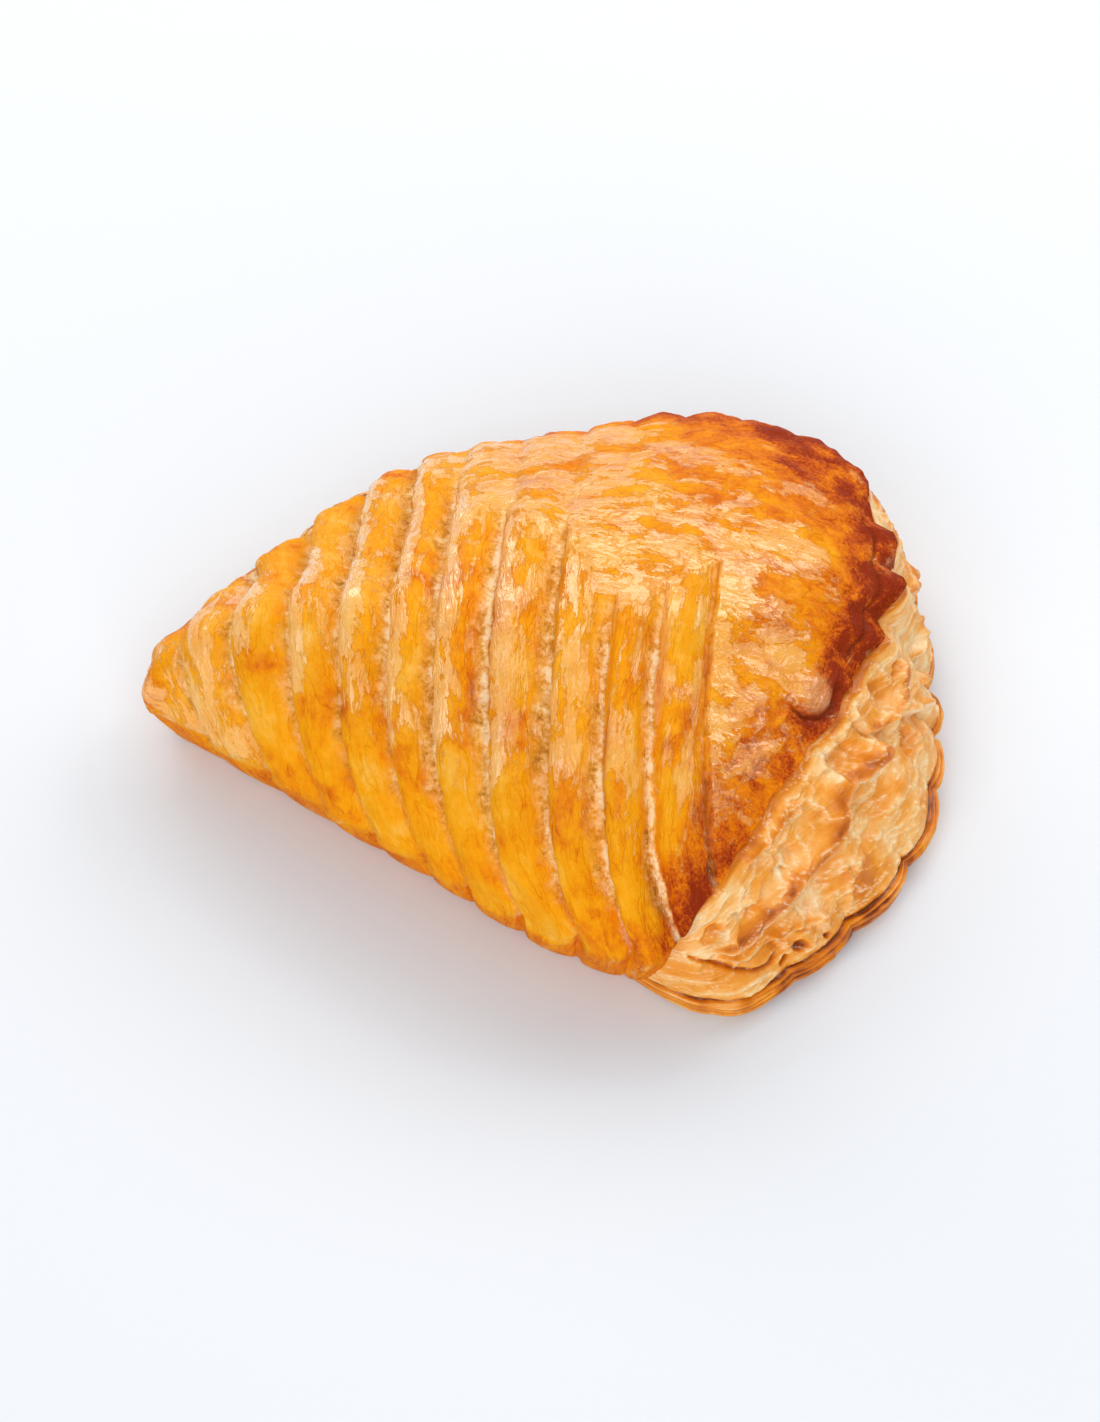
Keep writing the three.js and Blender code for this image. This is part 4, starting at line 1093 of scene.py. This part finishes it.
# Pale leaf edges, and the painted highlights along the films' creases.
pale_edges_and_sheen = add(tree, MATH, (value["film_edge_and_sheen"], 0.75), operation="MULTIPLY")
painted = add(tree, MIX, {"Factor": pale_edges_and_sheen, "A": layer_colour, "B": colour("FFEFD0")}, "Result",
              **COLOURS)
fibres = add(tree, MATH, (value["lines"], 9.0), operation="MULTIPLY")  # lines 0.7 mm apart down the side
fibres = add(tree, MATH, (small, 5.0, fibres), operation="MULTIPLY_ADD")
fibres = add(tree, MATH, (fibres,), operation="SINE")
raised = add(tree, MATH, (small, 0.45), operation="MULTIPLY")
for part, high in ((broad, 0.8), (fibres, 0.05)):
    raised = add(tree, MATH, (part, high, raised), operation="MULTIPLY_ADD")
layer_normal = add(tree, BUMP, {"Height": raised, "Strength": 0.5, "Distance": 0.0008})
surface = add(tree, "ShaderNodeBsdfPrincipled", {
    "Base Color": painted, "Roughness": 0.34, "Normal": layer_normal, "IOR": 1.45, "Specular IOR Level": 0.5,
    "Subsurface Weight": 0.25, "Subsurface Radius": (1.0, 0.6, 0.3), "Subsurface Scale": 0.002})
add(tree, "ShaderNodeOutputMaterial", {"Surface": surface})
layers.data.materials.append(baked_puff_layers)
print("layers material:", layers.data.materials[0].name, "with", len(tree.nodes), "nodes")

# %% [markdown]
# ## Join the pieces to the part
# The crust stands for the CAD solid, which then stays for collisions alone. The layers lie on it as a
# second piece, with the finish of their own slot.

# %% Join the pieces to the part
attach(crust, "root")
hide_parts("pastry")
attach(layers, "root")
print("pieces:", [o.name for o in (crust, layers)])

# %% [markdown]
# ## The floor, the light and the camera
# A glaze shows the shape of its lamps. Small lamps would put hard white dots on the egg film, while big
# soft boxes close to the food give it broad, soft reflections and leave almost no shadow. Most of the light
# comes from behind, so that it skims the cuts. The floor is a plain pale sheet, larger than the view.

# %% Floor
# Painted board: matt and even, so that it only catches the shadow.
matt_painted_board, tree = new_material("matt_painted_board")
surface = add(tree, "ShaderNodeBsdfPrincipled", {"Base Color": colour("E2EAF4"), "Roughness": 0.9,
                                                 "Specular IOR Level": 0.1})
add(tree, "ShaderNodeOutputMaterial", {"Surface": surface})
bpy.ops.object.select_all(action="DESELECT")
bpy.ops.mesh.primitive_plane_add(size=6, location=(0, 0, 0))
floor_sheet = bpy.context.object
floor_sheet.name = "floor"
floor_sheet.data.materials.append(matt_painted_board)
print("floor:", tuple(floor_sheet.dimensions))

# %% Light
SOFT_BOXES = {  # azimuth, elevation, distance and size in metres, watts, tint
    "box_behind_right": (150, 37, 1.2, (0.7, 0.6), 3.6, "FFF6EC"),
    "box_behind": (202, 43, 1.2, (1.4, 0.7), 9.4, "FFF6EC"),
    "box_behind_left": (246, 26, 1.2, (0.7, 0.6), 3.6, "FFF6EC"),
    "box_above": (20, 84, 1.2, (1.2, 1.2), 1.5, "FFFFFF"),
    "box_front": (22, 34, 1.6, (2.2, 1.4), 24, "FFFAF4")}
LIGHTS_AIM = Vector((0, 0, 0.02))


def backwards(azimuth, elevation):
    """The direction from the pastry towards a light or the camera."""
    turn, lift = math.radians(azimuth), math.radians(elevation)
    return Vector((math.sin(turn) * math.cos(lift), -math.cos(turn) * math.cos(lift), math.sin(lift)))


for name, (azimuth, elevation, distance, size, watts, tint) in SOFT_BOXES.items():
    light = bpy.data.lights.new(name, "AREA")
    light.shape = "RECTANGLE"
    light.size, light.size_y = size
    light.energy = watts
    light.color = colour(tint)[:3]
    soft_box = bpy.data.objects.new(name, light)
    bpy.context.collection.objects.link(soft_box)
    back = backwards(azimuth, elevation)
    soft_box.location = LIGHTS_AIM + back * distance
    soft_box.rotation_euler = back.to_track_quat("Z", "Y").to_euler()
world = bpy.data.worlds.new("studio")
world.use_nodes = True
world.node_tree.nodes["Background"].inputs["Color"].default_value = colour("F2F7FD")
world.node_tree.nodes["Background"].inputs["Strength"].default_value = 0.22
bpy.context.scene.world = world
bpy.context.scene.view_settings.view_transform = "Standard"

# %% Camera
VIEW_AZIMUTH = 31.3    # degrees the camera stands to the right of straight in front
VIEW_ELEVATION = 52.8
VIEW_DISTANCE = 0.72
AIM = Vector((0.0004, -0.0157, 0.02))
FOCAL_PIXELS = 4476.0
IMAGE_WIDTH, IMAGE_HEIGHT = 1100, 1422
AIM_PIXEL = (551.7, 689.6)


def add_camera():
    back = backwards(VIEW_AZIMUTH, VIEW_ELEVATION)
    lens = bpy.data.cameras.new("camera")
    lens.lens = FOCAL_PIXELS / IMAGE_HEIGHT * lens.sensor_width
    lens.shift_x = (0.5 * IMAGE_WIDTH - AIM_PIXEL[0]) / IMAGE_HEIGHT
    lens.shift_y = (AIM_PIXEL[1] - 0.5 * IMAGE_HEIGHT) / IMAGE_HEIGHT
    lens.clip_start, lens.clip_end = 0.05, 20
    camera = bpy.data.objects.new("camera", lens)
    bpy.context.collection.objects.link(camera)
    camera.location = AIM + back * VIEW_DISTANCE
    camera.rotation_euler = back.to_track_quat("Z", "Y").to_euler()
    bpy.context.scene.camera = camera
    return camera


print("camera at", [round(v, 3) for v in add_camera().location])
